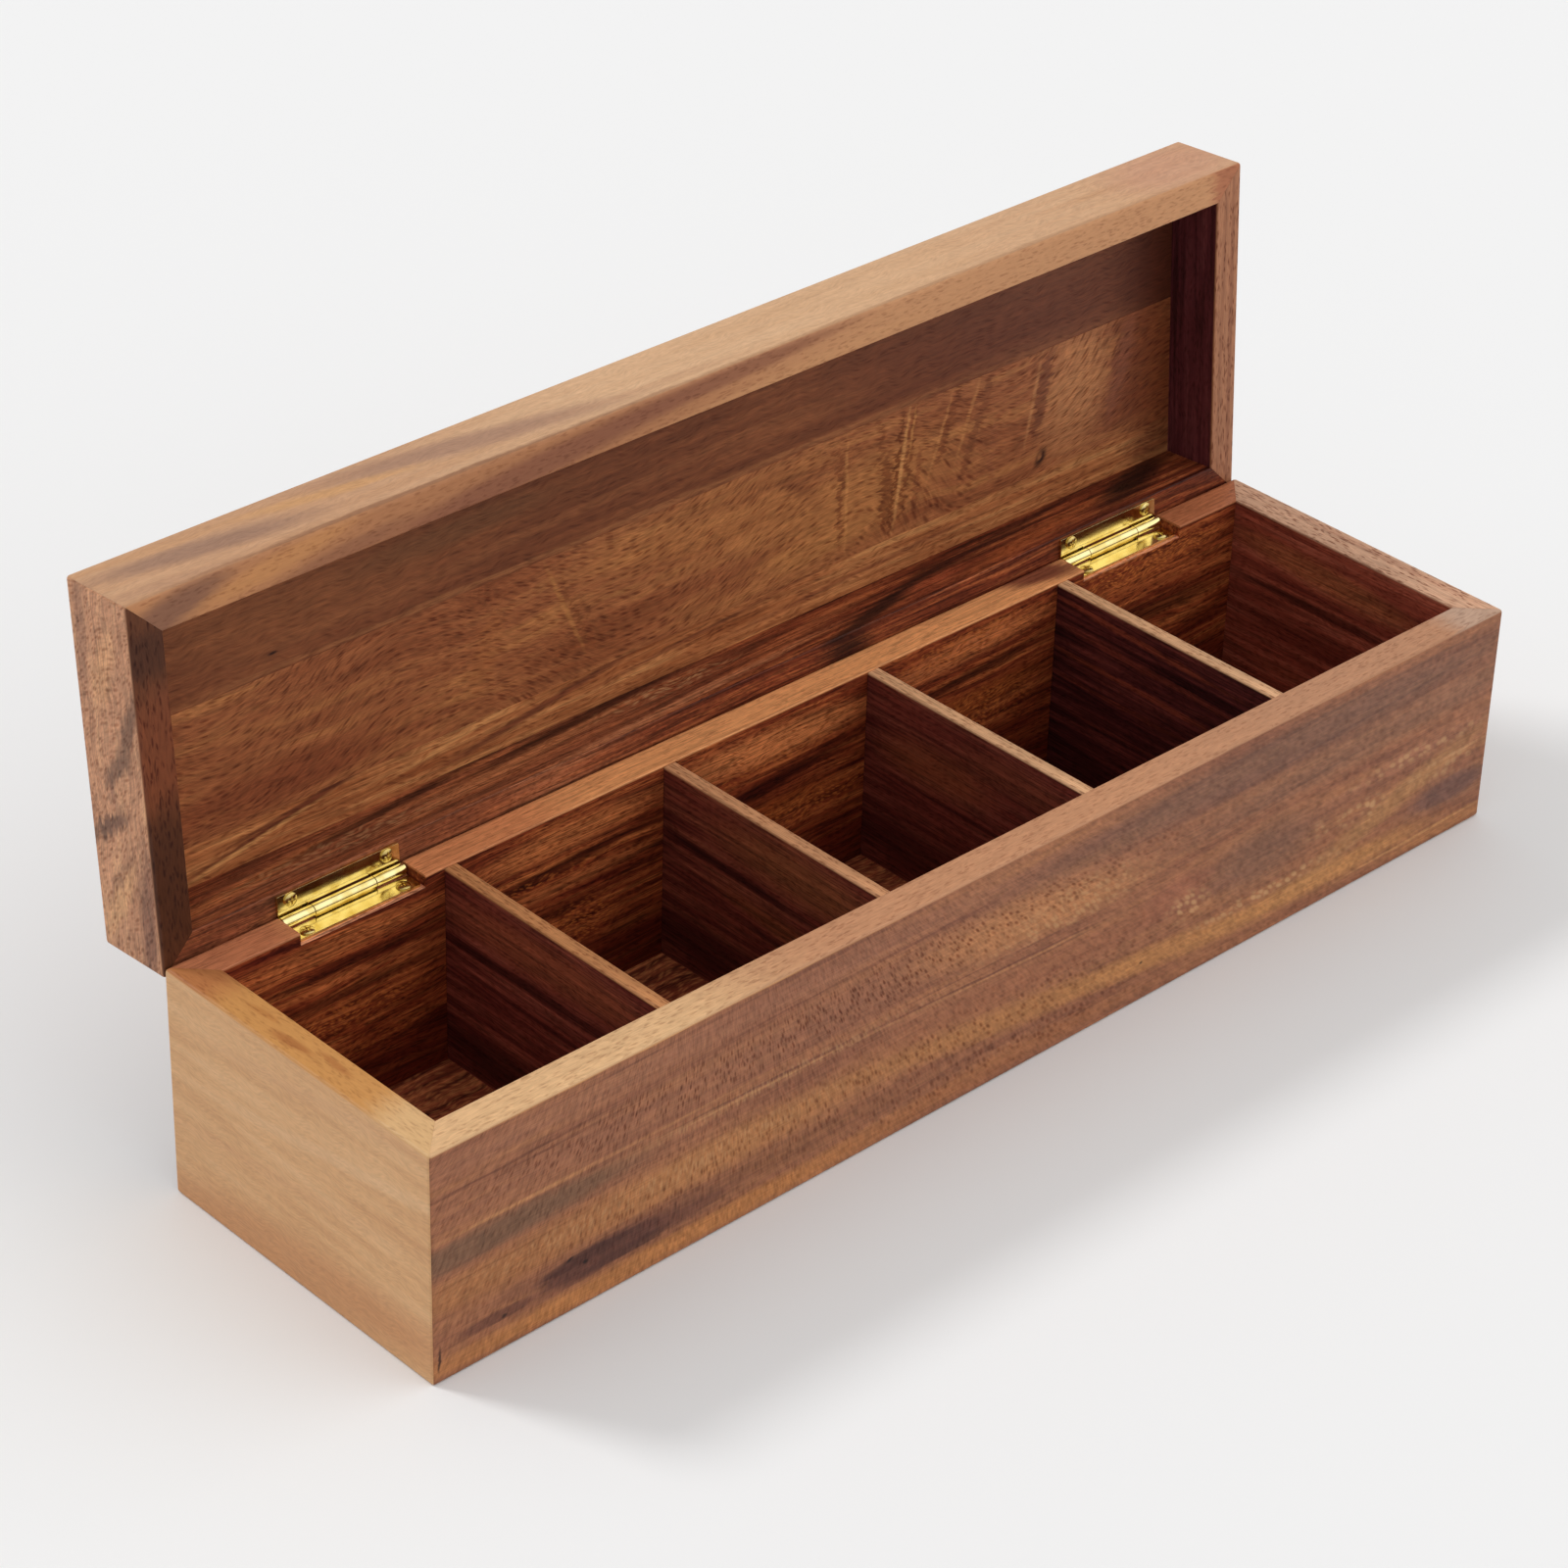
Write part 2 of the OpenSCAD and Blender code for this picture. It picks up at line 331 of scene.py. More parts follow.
def leaning(tree, grain, length, reach):
    # interlocked grain leans one way and then the other, at uneven steps
    unevenness = 16.0
    parts = split(tree, grain)
    drift = noise(tree, grain, 5 * length, 1.5 * length, 2.0).outputs["Fac"]
    drift = times(tree, drift, unevenness)
    phase = calc(tree, "MULTIPLY_ADD", parts[0], 2 * math.pi / length, drift)
    lift = calc(tree, "MULTIPLY_ADD", calc(tree, "SINE", phase), reach, parts[1])
    return put(tree, "CombineXYZ", {0: parts[0], 1: lift, 2: parts[2]}).outputs[0]


def fanned(tree, grain, u, v, far):
    # grain that fans out like rays from a point beyond the board
    apart = put(tree, "VectorMath", {0: grain, 1: (u, v, 0)}, operation="SUBTRACT").outputs[0]
    parts = split(tree, apart)
    flat = put(tree, "CombineXYZ", {0: parts[0], 1: parts[1]}).outputs[0]
    reach = put(tree, "VectorMath", {0: flat}, operation="LENGTH").outputs["Value"]
    turn = times(tree, calc(tree, "ARCTAN2", parts[1], parts[0]), far)
    return put(tree, "CombineXYZ", {0: reach, 1: turn, 2: parts[2]}).outputs[0]


def inBoard(tree, look, turn):
    # millimetres along, across and into the board
    along, across = Vector(look["along"]), Vector(look["across"])
    axes = Matrix((along, across, along.cross(across))).to_4x4()
    place = axes @ Matrix.Translation(-Vector(look["corner"]) * mm) @ turn
    ins = {
        "Vector": put(tree, "TexCoord", {}).outputs["Object"],
        "Location": place.to_translation() / mm,
        "Rotation": place.to_euler(),
        "Scale": (1 / mm, 1 / mm, 1 / mm),
    }
    return put(tree, "Mapping", ins).outputs[0]


def bandTones(tree, look, bands):
    ramp = put(tree, "ValToRGB", {"Fac": bands})
    stops = ramp.color_ramp.elements
    dark, middle, light = [tone(code) for code in look["tones"]]
    darkAt, middleAt, lightAt = look["bandStops"]
    stops[0].position, stops[0].color = darkAt, dark
    stops[1].position, stops[1].color = lightAt, light
    between = stops.new(middleAt)
    between.color = middle
    return ramp.outputs["Color"]


def outerTonesWithoutPaintedShade(tree, look, colour, height, depth):
    # the board's tones hold painted shade and reddish bounce light of the box's inside; the outer faces get
    # a plainer tone without it
    hue, strong, bright, outerEdge = look["outside"]
    toEdge = gap(tree, height, outerEdge)
    share = remap(tree, calc(tree, "MINIMUM", depth, toEdge), *look["outsideEdge"])
    ins = {"Color": colour, "Hue": hue, "Saturation": strong, "Value": bright, "Fac": share}
    return put(tree, "HueSaturation", ins).outputs[0]


def notchTones(tree, look, colour, height, depth):
    # freshly cut wood on the floor of a hinge notch, clear of the outer and the inner face
    floorAt, code, outerFace, innerFace = look["notchFloor"]
    within = times(tree, remap(tree, depth, *outerFace), remap(tree, depth, *innerFace))
    away = gap(tree, height, floorAt)
    share = times(tree, within, remap(tree, away, *look["notchNear"]))
    return blendTones(tree, share, colour, tone(code))


def fineShades(tree, look, grain, leaned):
    # growth lines, fine fibre, mottle and grit; the mottle is partly the grain's uneven tone and partly
    # painted sheen, the shimmer of interlocked grain
    rings = noise(tree, grain, *look["growthLines"], 4.0, 0.6).outputs["Fac"]
    away = gap(tree, rings, 0.5)
    growthShade = remap(tree, away, 0.0, 0.05, 1 - look["growth"], 1.0)
    fibre = noise(tree, grain, *look["fibre"], 3.0, 0.7).outputs["Fac"]
    fibreShade = remap(tree, fibre, 0.3, 0.7, *look["contrast"])
    mottle = noise(tree, leaned, *look["mottles"], 2.0, 0.5).outputs["Fac"]
    poreLong, poreWide = look["pore"]
    grit = noise(tree, leaned, 0.9 * poreLong, 0.6 * poreWide, 1.0, 0.5).outputs["Fac"]
    shade = times(tree, growthShade, fibreShade)
    shade = times(tree, shade, remap(tree, mottle, 0.35, 0.65, *look["mottle"]))
    shade = times(tree, shade, remap(tree, grit, 0.25, 0.7, *look["grit"]))
    return fibreShade, shade


def poreShares(tree, look, leaned, edges, onTheRim):
    # some pores are faint, and some zones and the rim have more of them
    cells = {"Vector": stretched(tree, leaned, *look["pore"]), "Scale": 1.0}
    pores = put(tree, "TexVoronoi", cells).outputs
    richness = calc(tree, "ADD", look["pores"], zones(tree, edges, look.get("porous", [])))
    richness = calc(tree, "MULTIPLY_ADD", onTheRim, look["rimPores"], richness)
    chance = remap(tree, split(tree, pores["Color"])[0], 0.0, 0.7, 0.25, 1.0)
    chance = times(tree, chance, richness)
    return times(tree, remap(tree, pores["Distance"], *look["poreRadius"]), chance)


def acacia(name, board, turn=asItStands):
    look = {**acaciaLook, **board}
    material, tree = freshMaterial(name)
    plain = inBoard(tree, look, turn)
    _, height, depth = split(tree, plain)
    depth = calc(tree, "ABSOLUTE", depth)

    # the grain, the ragged edges of streaks, and the leaning pores
    waveLong, waveWide, waveReach = look["wave"]
    grain = shifted(tree, plain, waveLong, waveWide, (0, waveReach, waveReach))
    edges = shifted(tree, plain, *look["ragged"], 4.0)
    edges = shifted(tree, edges, *look["frayed"], 1.0)
    if "fan" in look:
        leaned = fanned(tree, grain, *look["fan"])
    else:
        leaned = leaning(tree, grain, *look["ripple"])

    # bands between the board's own dark, middle and light tones, and what is painted on them
    bands = noise(tree, grain, *look["bands"], 6.0, 0.62).outputs["Fac"]
    colour = bandTones(tree, look, bands)
    colour = paint(tree, colour, edges, look.get("streaks", []), look["streakEdge"])
    colour = paint(tree, colour, edges, look.get("blots", []), look["blotEdge"])
    fine = shifted(tree, plain, *look["lineWander"], 3.0)
    colour = paint(tree, colour, fine, look.get("lines", []), look["lineEdge"])
    if "outside" in look:
        colour = outerTonesWithoutPaintedShade(tree, look, colour, height, depth)

    # the rim is the board's edge at the mouth of the box
    onTheRim = 0.0
    if "rim" in look:
        onRim = put(tree, "CombineXYZ", {0: split(tree, edges)[0], 1: depth}).outputs[0]
        at, way = look["rimAt"]
        start, full = look["rimStart"]
        onTheRim = remap(tree, times(tree, height, way), at * way - start, at * way - full)
        colour = paint(tree, colour, onRim, look["rim"], look["rimEdge"], onTheRim)
        if "notchFloor" in look:
            colour = notchTones(tree, look, colour, height, depth)
        leaned = put(tree, "Mix", {0: onTheRim, 4: leaned, 5: onRim}, data_type="VECTOR").outputs[1]
    leaned = shifted(tree, leaned, *look["poreWander"], 1.0)

    # fine shading, flecks and pores
    fibreShade, shade = fineShades(tree, look, grain, leaned)
    calm = times(tree, onTheRim, look["rimCalm"])
    shade = put(tree, "Mix", {0: calm, 2: shade, 3: 1.0}).outputs[0]
    grey = put(tree, "CombineColor", {0: shade, 1: shade, 2: shade}).outputs[0]
    colour = blendTones(tree, 1.0, colour, grey, "MULTIPLY")
    if "flecks" in look:
        cells = {"Vector": stretched(tree, leaned, *look["fleck"]), "Scale": 1.0}
        flecks = put(tree, "TexVoronoi", cells).outputs["Distance"]
        flecks = remap(tree, flecks, *look["fleckRadius"])
        flecks = times(tree, flecks, zones(tree, edges, look["flecks"]))
        colour = blendTones(tree, flecks, colour, tone(look["fleckTone"]))
    pores = poreShares(tree, look, leaned, edges, onTheRim)
    colour = blendTones(tree, pores, colour, tone(look["poreTint"]), "MULTIPLY")

    rough = calc(tree, "MULTIPLY_ADD", bands, look["bandRough"], look["rough"])
    rough = calc(tree, "MULTIPLY_ADD", pores, look["poreRough"], rough)
    relief = calc(tree, "MULTIPLY_ADD", pores, -1.0, fibreShade)
    strength, deep = look["bump"]
    bump = put(tree, "Bump", {"Height": relief, "Strength": strength, "Distance": deep * mm}).outputs[0]
    ins = {"Base Color": colour, "Roughness": rough, "Normal": bump, "Specular IOR Level": look["shine"]}
    shader = put(tree, "BsdfPrincipled", ins)
    put(tree, "OutputMaterial", {"Surface": shader.outputs[0]})
    return material


brassLook = {
    "drawn": (60, 900, 900),   # lines of drawn metal per metre, along and across
    "spots": 260.0,
    "bump": (0.1, 0.006),      # strength, and depth in mm
}


def brass(name, metal):
    look = {**brassLook, **metal}
    material, tree = freshMaterial(name)
    place = put(tree, "TexCoord", {}).outputs["Object"]
    drawn = put(tree, "Mapping", {"Vector": place, "Scale": look["drawn"]}).outputs[0]
    lines = put(tree, "TexNoise", {"Vector": drawn, "Scale": 1.0, "Detail": 3.0}).outputs["Fac"]
    spots = {"Vector": place, "Scale": look["spots"], "Detail": 4.0}
    dull = remap(tree, put(tree, "TexNoise", spots).outputs["Fac"], 0.4, 0.72)
    colour = blendTones(tree, dull, tone(look["bright"]), tone(look["dull"]))
    rough = remap(tree, lines, 0.3, 0.7, *look["rough"])
    strength, deep = look["bump"]
    bump = put(tree, "Bump", {"Height": lines, "Strength": strength, "Distance": deep * mm}).outputs[0]
    ins = {"Base Color": colour, "Metallic": 1.0, "Roughness": rough, "Normal": bump}
    shader = put(tree, "BsdfPrincipled", ins)
    put(tree, "OutputMaterial", {"Surface": shader.outputs[0]})
    return material


# Frames of mitred boards

sides = {
    "front": {"out": Vector((0, -1, 0)), "along": Vector((1, 0, 0))},
    "back": {"out": Vector((0, 1, 0)), "along": Vector((1, 0, 0))},
    "left": {"out": Vector((-1, 0, 0)), "along": Vector((0, 1, 0))},
    "right": {"out": Vector((1, 0, 0)), "along": Vector((0, 1, 0))},
}


def easedBlock(name, low, high, ease, backEase):
    # every edge is eased, and the back top edge may have its own rounding
    block = startBlock(name, low, high)
    openMesh(block, "EDGE")
    bpy.ops.transform.edge_bevelweight(value=ease / backEase)
    pickParts(block, "EDGE", lambda e: allAt(e, 1, high.y) and allAt(e, 2, high.z))
    bpy.ops.transform.edge_bevelweight(value=1 - ease / backEase)
    closeMesh()
    rounding = block.modifiers.new("rounding", "BEVEL")
    rounding.width = backEase
    rounding.segments = 5
    rounding.limit_method = "WEIGHT"
    bpy.ops.object.modifier_apply(modifier=rounding.name)
    return block


def mitredSide(block, name, side, low, high, thickness):
    # one side sawn out of the eased block: two mitres and the inner face
    piece = copyOf(block, name)
    out, along = sides[side]["out"], sides[side]["along"]
    middle = (low + high) / 2
    half = (high - low) / 2
    outer = middle + Vector([out[i] * half[i] for i in range(3)])
    sawOff(piece, outer - out * thickness, -out)
    for end in (-1, 1):
        corner = outer + end * Vector([along[i] * half[i] for i in range(3)])
        sawOff(piece, corner, end * along - out)
    return piece


def easeInnerRim(piece, side, low, high, thickness, rim, ease):
    # the long inner edge at the rim
    out = sides[side]["out"]
    axis = 1 if out.x == 0 else 0
    face = (high if out[axis] > 0 else low)[axis] - out[axis] * thickness
    openMesh(piece, "EDGE")
    pickParts(piece, "EDGE", lambda e: allAt(e, axis, face) and allAt(e, 2, rim))
    bpy.ops.mesh.bevel(offset=ease, segments=3, affect="EDGES")
    closeMesh()


# Hinges and screws: sizes, which the walls need too

hingeShape = {
    "sheet": 0.8 * mm,
    "set": 1.85 * mm,        # from the pin to the back of a leaf
    "leafClear": 1.8 * mm,   # from the pin to the edge of the flat leaf
    "leaf": 7 * mm,
    "curl": 1.25 * mm,       # middle of the sheet where it curls round the pin
    "curlTurn": 285,
    "curlSteps": 22,
    "corner": 0.35 * mm,
    "arris": 0.09 * mm,
    "pinEase": 0.3 * mm,
    "midKnuckle": 19 * mm,
    "gap": 0.2 * mm,
}
screwShape = {
    "head": 3.8 * mm, "rim": 0.35 * mm, "height": 0.8 * mm, "shank": 2 * mm, "length": 9 * mm, "tip": 2 * mm,
    "cross": 2.3 * mm, "arm": 0.5 * mm, "depth": 0.45 * mm, "arris": 0.04 * mm, "rings": 7,
    "point": 0.06,           # width of the tip, as a share of the shank
    "hole": 1.05 * mm,       # radius of the drilled hole
    "spare": 0.05 * mm,      # the hole goes this much deeper than the screw
}


def drillForScrews(piece, hinge, body="base"):
    # with the box closed, the base's screws point down and the lid's point up
    up = 1 if body == "base" else -1
    low, high = boxOf(["%s_hinge_%s_screws" % (hinge, body)], asItStands if body == "base" else closing)
    for x in (low.x + screwShape["head"] / 2, high.x - screwShape["head"] / 2):
        seat = Vector((x, (low.y + high.y) / 2, pin.z - up * (hingeShape["set"] - hingeShape["sheet"])))
        tip = seat - Vector((0, 0, up * (screwShape["length"] + screwShape["spare"])))
        ends = sorted((seat + up * pastFace, tip), key=lambda p: p.z)
        cutRound(piece, screwShape["hole"], *ends)


# Base

baseNodes = ["front_wall", "back_wall", "left_end_wall", "right_end_wall"]
baseLow, baseHigh = boxOf(baseNodes)
pocketLow = boxOf(["bottom_board_front"])[0]
pocketHigh = boxOf(["bottom_board_back"])[1]
dividers = ["divider_1", "divider_2", "divider_3", "divider_4"]

baseFrame = {
    "wall": 10 * mm,
    "rimAt": (67, 1),        # height of the rim in mm, and 1 where it faces up
    "ease": 1 * mm,
    "backEase": 1.75 * mm,   # the lid's rim rolls past this edge
    "innerEase": 0.35 * mm,
    "arris": 0.1 * mm,
    "fit": 0.1 * mm,         # gap round the boards and dividers
    "notch": 39 * mm,
    "notchDepth": 3.6 * mm,
}

baseWoods = {
    "front": {
        "node": "front_wall",
        "corner": (-190, -50, 0), "along": (1, 0, 0),
        "tones": ("#89563f", "#9d6648", "#ad734c"), "slot": "brown_board",
        "bands": (80, 4.5), "wave": (130, 22, 5.0), "growth": 0.12, "pores": 0.25,
        "fan": (85, 150, 120), "pore": (2.6, 0.88), "mottle": (0.9, 1.08), "rimPores": 0.15,
        "grit": (0.84, 1.1),
        "streaks": [
            (90, 61, 130, 4.5, 0, "#9e694f", 0.6), (290, 57, 110, 7.5, 0, "#7a5646", 0.75),
            (330, 46, 90, 6, 1, "#8a614b", 0.6), (110, 47.5, 130, 7, 0, "#97634a", 0.5),
            (196, 45.5, 48, 8, -5, "#ba7e52", 0.9), (20, 35.5, 52, 4.8, 0, "#7d5942", 0.9),
            (75, 24, 105, 6.6, 0, "#b67b4b", 0.85), (28, 24, 46, 7, 0, "#a1673f", 0.5),
            (190, 18, 56, 4.6, -6, "#b97e4c", 0.8), (250, 12, 46, 4.6, -6, "#be834e", 0.8),
            (312, 8.5, 48, 4.2, -1, "#c98d55", 0.85), (365, 3, 30, 3, 0, "#b67b4b", 0.6),
            (70, 4, 95, 3.8, 0, "#c18049", 0.85), (185, 5, 60, 3.6, 0, "#ad6e44", 0.5),
            (195, 27.5, 65, 5, -1, "#9e6446", 0.65), (286, 27, 26, 11, 0, "#825c49", 0.7),
            (252, 29, 16, 7, 0, "#a2634b", 0.5), (345, 33, 50, 3, 3, "#a66e52", 0.5),
            (365, 15, 20, 5.5, 0, "#7b564a", 0.75), (340, 21, 44, 4.5, 15, "#bf8c57", 0.5),
            (112, 13, 50, 4.6, 0, "#835339", 0.55), (60, 12.5, 40, 5, 0, "#744939", 0.7),
        ],
        "blots": [
            (53, 12.5, 24, 4.6, 0, "#5f3930", 0.85), (47, 14.6, 15, 2.0, 0, "#4a2b25", 0.6),
            (62, 10.2, 15, 1.8, 0, "#4e2f28", 0.55), (19, 10.5, 13, 2.2, 0, "#6c4235", 0.75),
            (80, 11.5, 13, 2.6, 0, "#6f4436", 0.6), (24, 36, 40, 4.2, 0, "#775540", 0.5),
            (365, 15, 17, 4.2, 0, "#6f4c43", 0.5),
        ],
        "lines": [
            (70, 66.7, 95, 0.6, 0, "#cf945c", 0.9), (22, 53.8, 34, 0.5, 1, "#6a3d2d", 0.65),
            (40, 52.2, 30, 0.5, 0.6, "#6a3d2d", 0.45), (150, 56.8, 36, 0.55, 0.4, "#6d4031", 0.5),
            (110, 56.4, 24, 0.4, 0.8, "#6d4031", 0.4), (25, 41, 30, 0.6, 0, "#bc8456", 0.7),
            (60, 40.5, 50, 0.5, 0, "#b88054", 0.5), (190, 37.5, 40, 0.4, -2, "#734538", 0.5),
            (215, 32.4, 34, 0.4, -1, "#6f4235", 0.55), (25, 27.5, 36, 0.4, 1, "#804f2e", 0.5),
            (104, 38.0, 34, 0.4, -1, "#6f4235", 0.7), (104, 37.0, 32, 0.45, -1, "#be865a", 0.7),
            (180, 35.0, 58, 0.4, -2.4, "#6f4235", 0.6), (184, 34.0, 54, 0.45, -2.4, "#bb8358", 0.6),
            (350, 4.6, 34, 0.6, 1, "#cf9761", 0.6), (320, 54, 70, 0.6, 3, "#68473a", 0.5),
            (300, 62, 80, 0.7, 1, "#68473a", 0.5), (290, 43, 60, 0.6, 2, "#744f3d", 0.5),
            (90, 64.5, 90, 0.5, 1, "#754838", 0.5), (365, 26.4, 18, 0.7, 1, "#c58d61", 0.7),
            (2, 7, 4.2, 0.5, 86, "#371e17", 0.9), (42, 16, 1.3, 0.6, 20, "#1c110f", 0.9),
            (47, 13, 1.0, 0.7, 0, "#1c110f", 0.9), (22, 10, 1.1, 0.6, 0, "#1c110f", 0.8),
            (240, 12.4, 0.8, 0.5, 0, "#291912", 0.8),
        ],
        "flecks": [
            (350, 33, 34, 2.4, 0.6), (210, 40, 34, 3, 0.5), (110, 37, 60, 2, 0.35),
            (70, 25, 75, 4, 0.35), (257, 23, 9, 5.5, 0.7), (309, 24.5, 5, 3, 0.6), (327, 23.5, 11, 4, 0.75),
            (362, 24, 18, 4, 0.5), (292, 14, 36, 2, 0.8), (215, 44, 28, 6, 0.4),
        ],
        "porous": [
            (120, 48.5, 135, 8, 0.65), (130, 20, 130, 8, 0.45), (180, 9, 60, 5, 0.45),
            (90, 33, 110, 36, 0.2),
        ],
        "rim": [
            (190, 5, 300, 20, 0, "#bc8865", 1.0), (40, 5, 80, 20, 0, "#e2b787", 0.95),
            (185, 5, 90, 20, 0, "#c7906a", 0.85), (374, 5, 14, 20, 0, "#bea18c", 0.7),
        ],
    },
    "back": {
        "node": "back_wall",
        "corner": (-190, 50, 0), "along": (1, 0, 0),
        # these dark, reddened tones are painted shade and bounce light of the box's inside; the outside
        # entry gives the outer faces a plainer tone
        "tones": ("#5f1e12", "#9f4928", "#da7d45"), "slot": "dark_board",
        "outside": (0.52, 0.82, 1.0, 0),
        "bands": (50, 2.2), "wave": (80, 20, 8.0), "growth": 0.6, "pores": 0.75, "contrast": (0.66, 1.27),
        "fleckTone": "#d97b3d", "fleck": (1.8, 0.7), "ripple": (18, 0.8), "rimPores": -0.4,
        "flecks": [
            (48, 37, 30, 5, 0.7), (50, 26, 26, 3.5, 0.4), (122, 31, 16, 8, 0.8), (112, 49, 30, 1.6, 0.5),
            (205, 34, 22, 5, 0.8), (192, 52.5, 34, 2.4, 0.5), (262, 61, 34, 5, 0.6), (265, 38, 26, 8, 0.75),
            (333, 60, 34, 5.5, 0.95),
        ],
        # the golden streaks high on the inner face (v 56 to 59) are the wood's own streaks, made brighter as
        # painted light
        "streaks": [
            (190, 13, 400, 14, 0, "#621c12", 0.75), (45, 59, 36, 4, -2, "#d97f48", 0.6),
            (50, 52, 34, 1.8, 0, "#3e110b", 0.75), (50, 48.5, 34, 1.6, 0, "#d97f48", 0.5),
            (50, 43.5, 34, 2, 0, "#3e110b", 0.65), (118, 59, 36, 5, 1, "#e3884e", 0.75),
            (118, 51, 36, 2.0, 3, "#3e110b", 0.75), (118, 45, 36, 2.4, 0, "#d97f48", 0.6),
            (118, 38, 34, 2, 2, "#3e110b", 0.5), (190, 58, 40, 6, -3, "#eb8f54", 0.9),
            (190, 46, 36, 2.6, 4, "#3e110b", 0.85), (190, 37, 34, 4, 0, "#b25b29", 0.6),
            (262, 59, 36, 4.5, 2, "#de834e", 0.75), (262, 50, 36, 1.8, 4, "#3e110b", 0.85),
            (262, 41, 34, 4.5, 3, "#b25b29", 0.6), (335, 56, 36, 7, 3, "#be6436", 0.6),
            (335, 44, 36, 4, -3, "#3e110b", 0.65),
        ],
        "notchFloor": (63.4, "#f8a87f", (0.1, 0.3), (9.97, 9.85)),
        # the rim's light tone is partly its own and partly painted light, lifting the rim where the open lid
        # shades it
        "rim": [
            (190, 5, 400, 20, 0, "#f0a56a", 1.0), (14, 5, 26, 20, 0, "#c97d57", 0.95),
            (88, 5, 34, 20, 0, "#da8a5b", 0.8), (296, 3, 16, 5, 14, "#854631", 0.95),
            (365, 5, 34, 20, 0, "#b86d47", 0.95),
        ],
    },
    "left": {
        "node": "left_end_wall",
        "corner": (-190, 50, 0), "along": (0, -1, 0),
        "tones": ("#c8976a", "#d3a475", "#daae80"), "slot": "light_board",
        "bands": (70, 6), "growth": 0.03, "pores": 0.06, "contrast": (0.96, 1.03), "mottle": (0.985, 1.01),
        "streaks": [
            (50, 6, 90, 10, 6, "#c58e62", 0.8), (70, 47, 60, 2.4, 9, "#deb68b", 0.5),
            (40, 28, 60, 2.0, 8, "#ce9d72", 0.4), (60, 60, 60, 2.4, 8, "#cc9c73", 0.35),
        ],
        "rim": [
            (50, 5, 90, 20, 0, "#c99053", 1.0), (4, 5, 16, 20, 0, "#b37044", 0.85),
            (92, 5, 16, 20, 0, "#dcb482", 0.85), (44, 4, 8, 1.6, 5, "#a46436", 0.7),
            (58, 6.4, 7, 1.2, -4, "#a46436", 0.6), (30, 6.5, 6, 1.2, 4, "#af6f3a", 0.5),
        ],
    },
    "right": {
        "node": "right_end_wall",
        "corner": (190, -50, 0), "along": (0, 1, 0),
        # these reddened tones are painted shade and bounce light of the box's inside; the outside entry
        # gives the outer faces a plainer tone
        "tones": ("#883c2f", "#aa533e", "#c86f56"), "slot": "brown_board",
        "outside": (0.53, 0.85, 1.0, 0),
        "growth": 0.4, "contrast": (0.75, 1.2), "rimPores": 0.4,
        "streaks": [
            (55, 56, 40, 5, 3, "#c97a4d", 0.65), (60, 45, 40, 1.8, 0, "#401613", 0.7),
            (60, 34, 40, 5, 0, "#6f2c22", 0.6), (60, 20, 40, 2, 2, "#b06044", 0.5),
        ],
        "rim": [
            (50, 5, 120, 20, 0, "#d9a988", 1.0), (40, 3, 40, 1.4, 0, "#c99172", 0.6),
        ],
    },
}

block = easedBlock("baseBlock", baseLow, baseHigh, baseFrame["ease"], baseFrame["backEase"])
for side, wood in baseWoods.items():
    wall = mitredSide(block, side + "WallBoard", side, baseLow, baseHigh, baseFrame["wall"])
    easeInnerRim(wall, side, baseLow, baseHigh, baseFrame["wall"], baseHigh.z, baseFrame["innerEase"])
    fit = baseFrame["fit"] * Vector((1, 1, 0))
    cutOut(wall, startBlock("rebate", pocketLow - fit - pastFace, pocketHigh + fit))
    if side in ("front", "back"):
        for divider in dividers:
            low, high = boxOf([divider])
            fit = baseFrame["fit"] * Vector((1, 1, 1))
            cutOut(wall, startBlock("groove", low - fit, high + fit))
    if side == "back":
        for hinge in ("left", "right"):
            low, high = boxOf([hinge + "_hinge_base_leaf"])
            top = Vector(((low.x + high.x) / 2, baseHigh.y, baseHigh.z))
            reach = Vector((baseFrame["notch"] / 2, 2 * baseFrame["wall"], baseFrame["notchDepth"]))
            cutOut(wall, startBlock("notch", top - reach, top + reach))
            drillForScrews(wall, hinge)
    easeArrises(wall, baseFrame["arris"])
    wood = {"rimAt": baseFrame["rimAt"], **wood}
    handOver(wall, "base", wood["node"], acacia(side + "WallWood", wood))
dropPiece(block)
print("stage: base walls")

bottomWood = {
    "corner": (-190, -50, 0), "along": (1, 0, 0), "across": (0, 1, 0),
    "tones": ("#46170e", "#9b4930", "#df8452"), "growth": 0.5, "contrast": (0.66, 1.25),
    "flecks": [(60, 70, 60, 30, 0.5), (160, 80, 60, 20, 0.5), (240, 80, 40, 20, 0.5)],
    "fleckTone": "#db8c57",
}
for place in ("front", "middle", "back"):
    node = "bottom_board_" + place
    board = startBlock(place + "BottomBoard", *boxOf([node]))
    easeArrises(board, baseFrame["arris"])
    handOver(board, "base", node, acacia(place + "BottomWood", bottomWood))

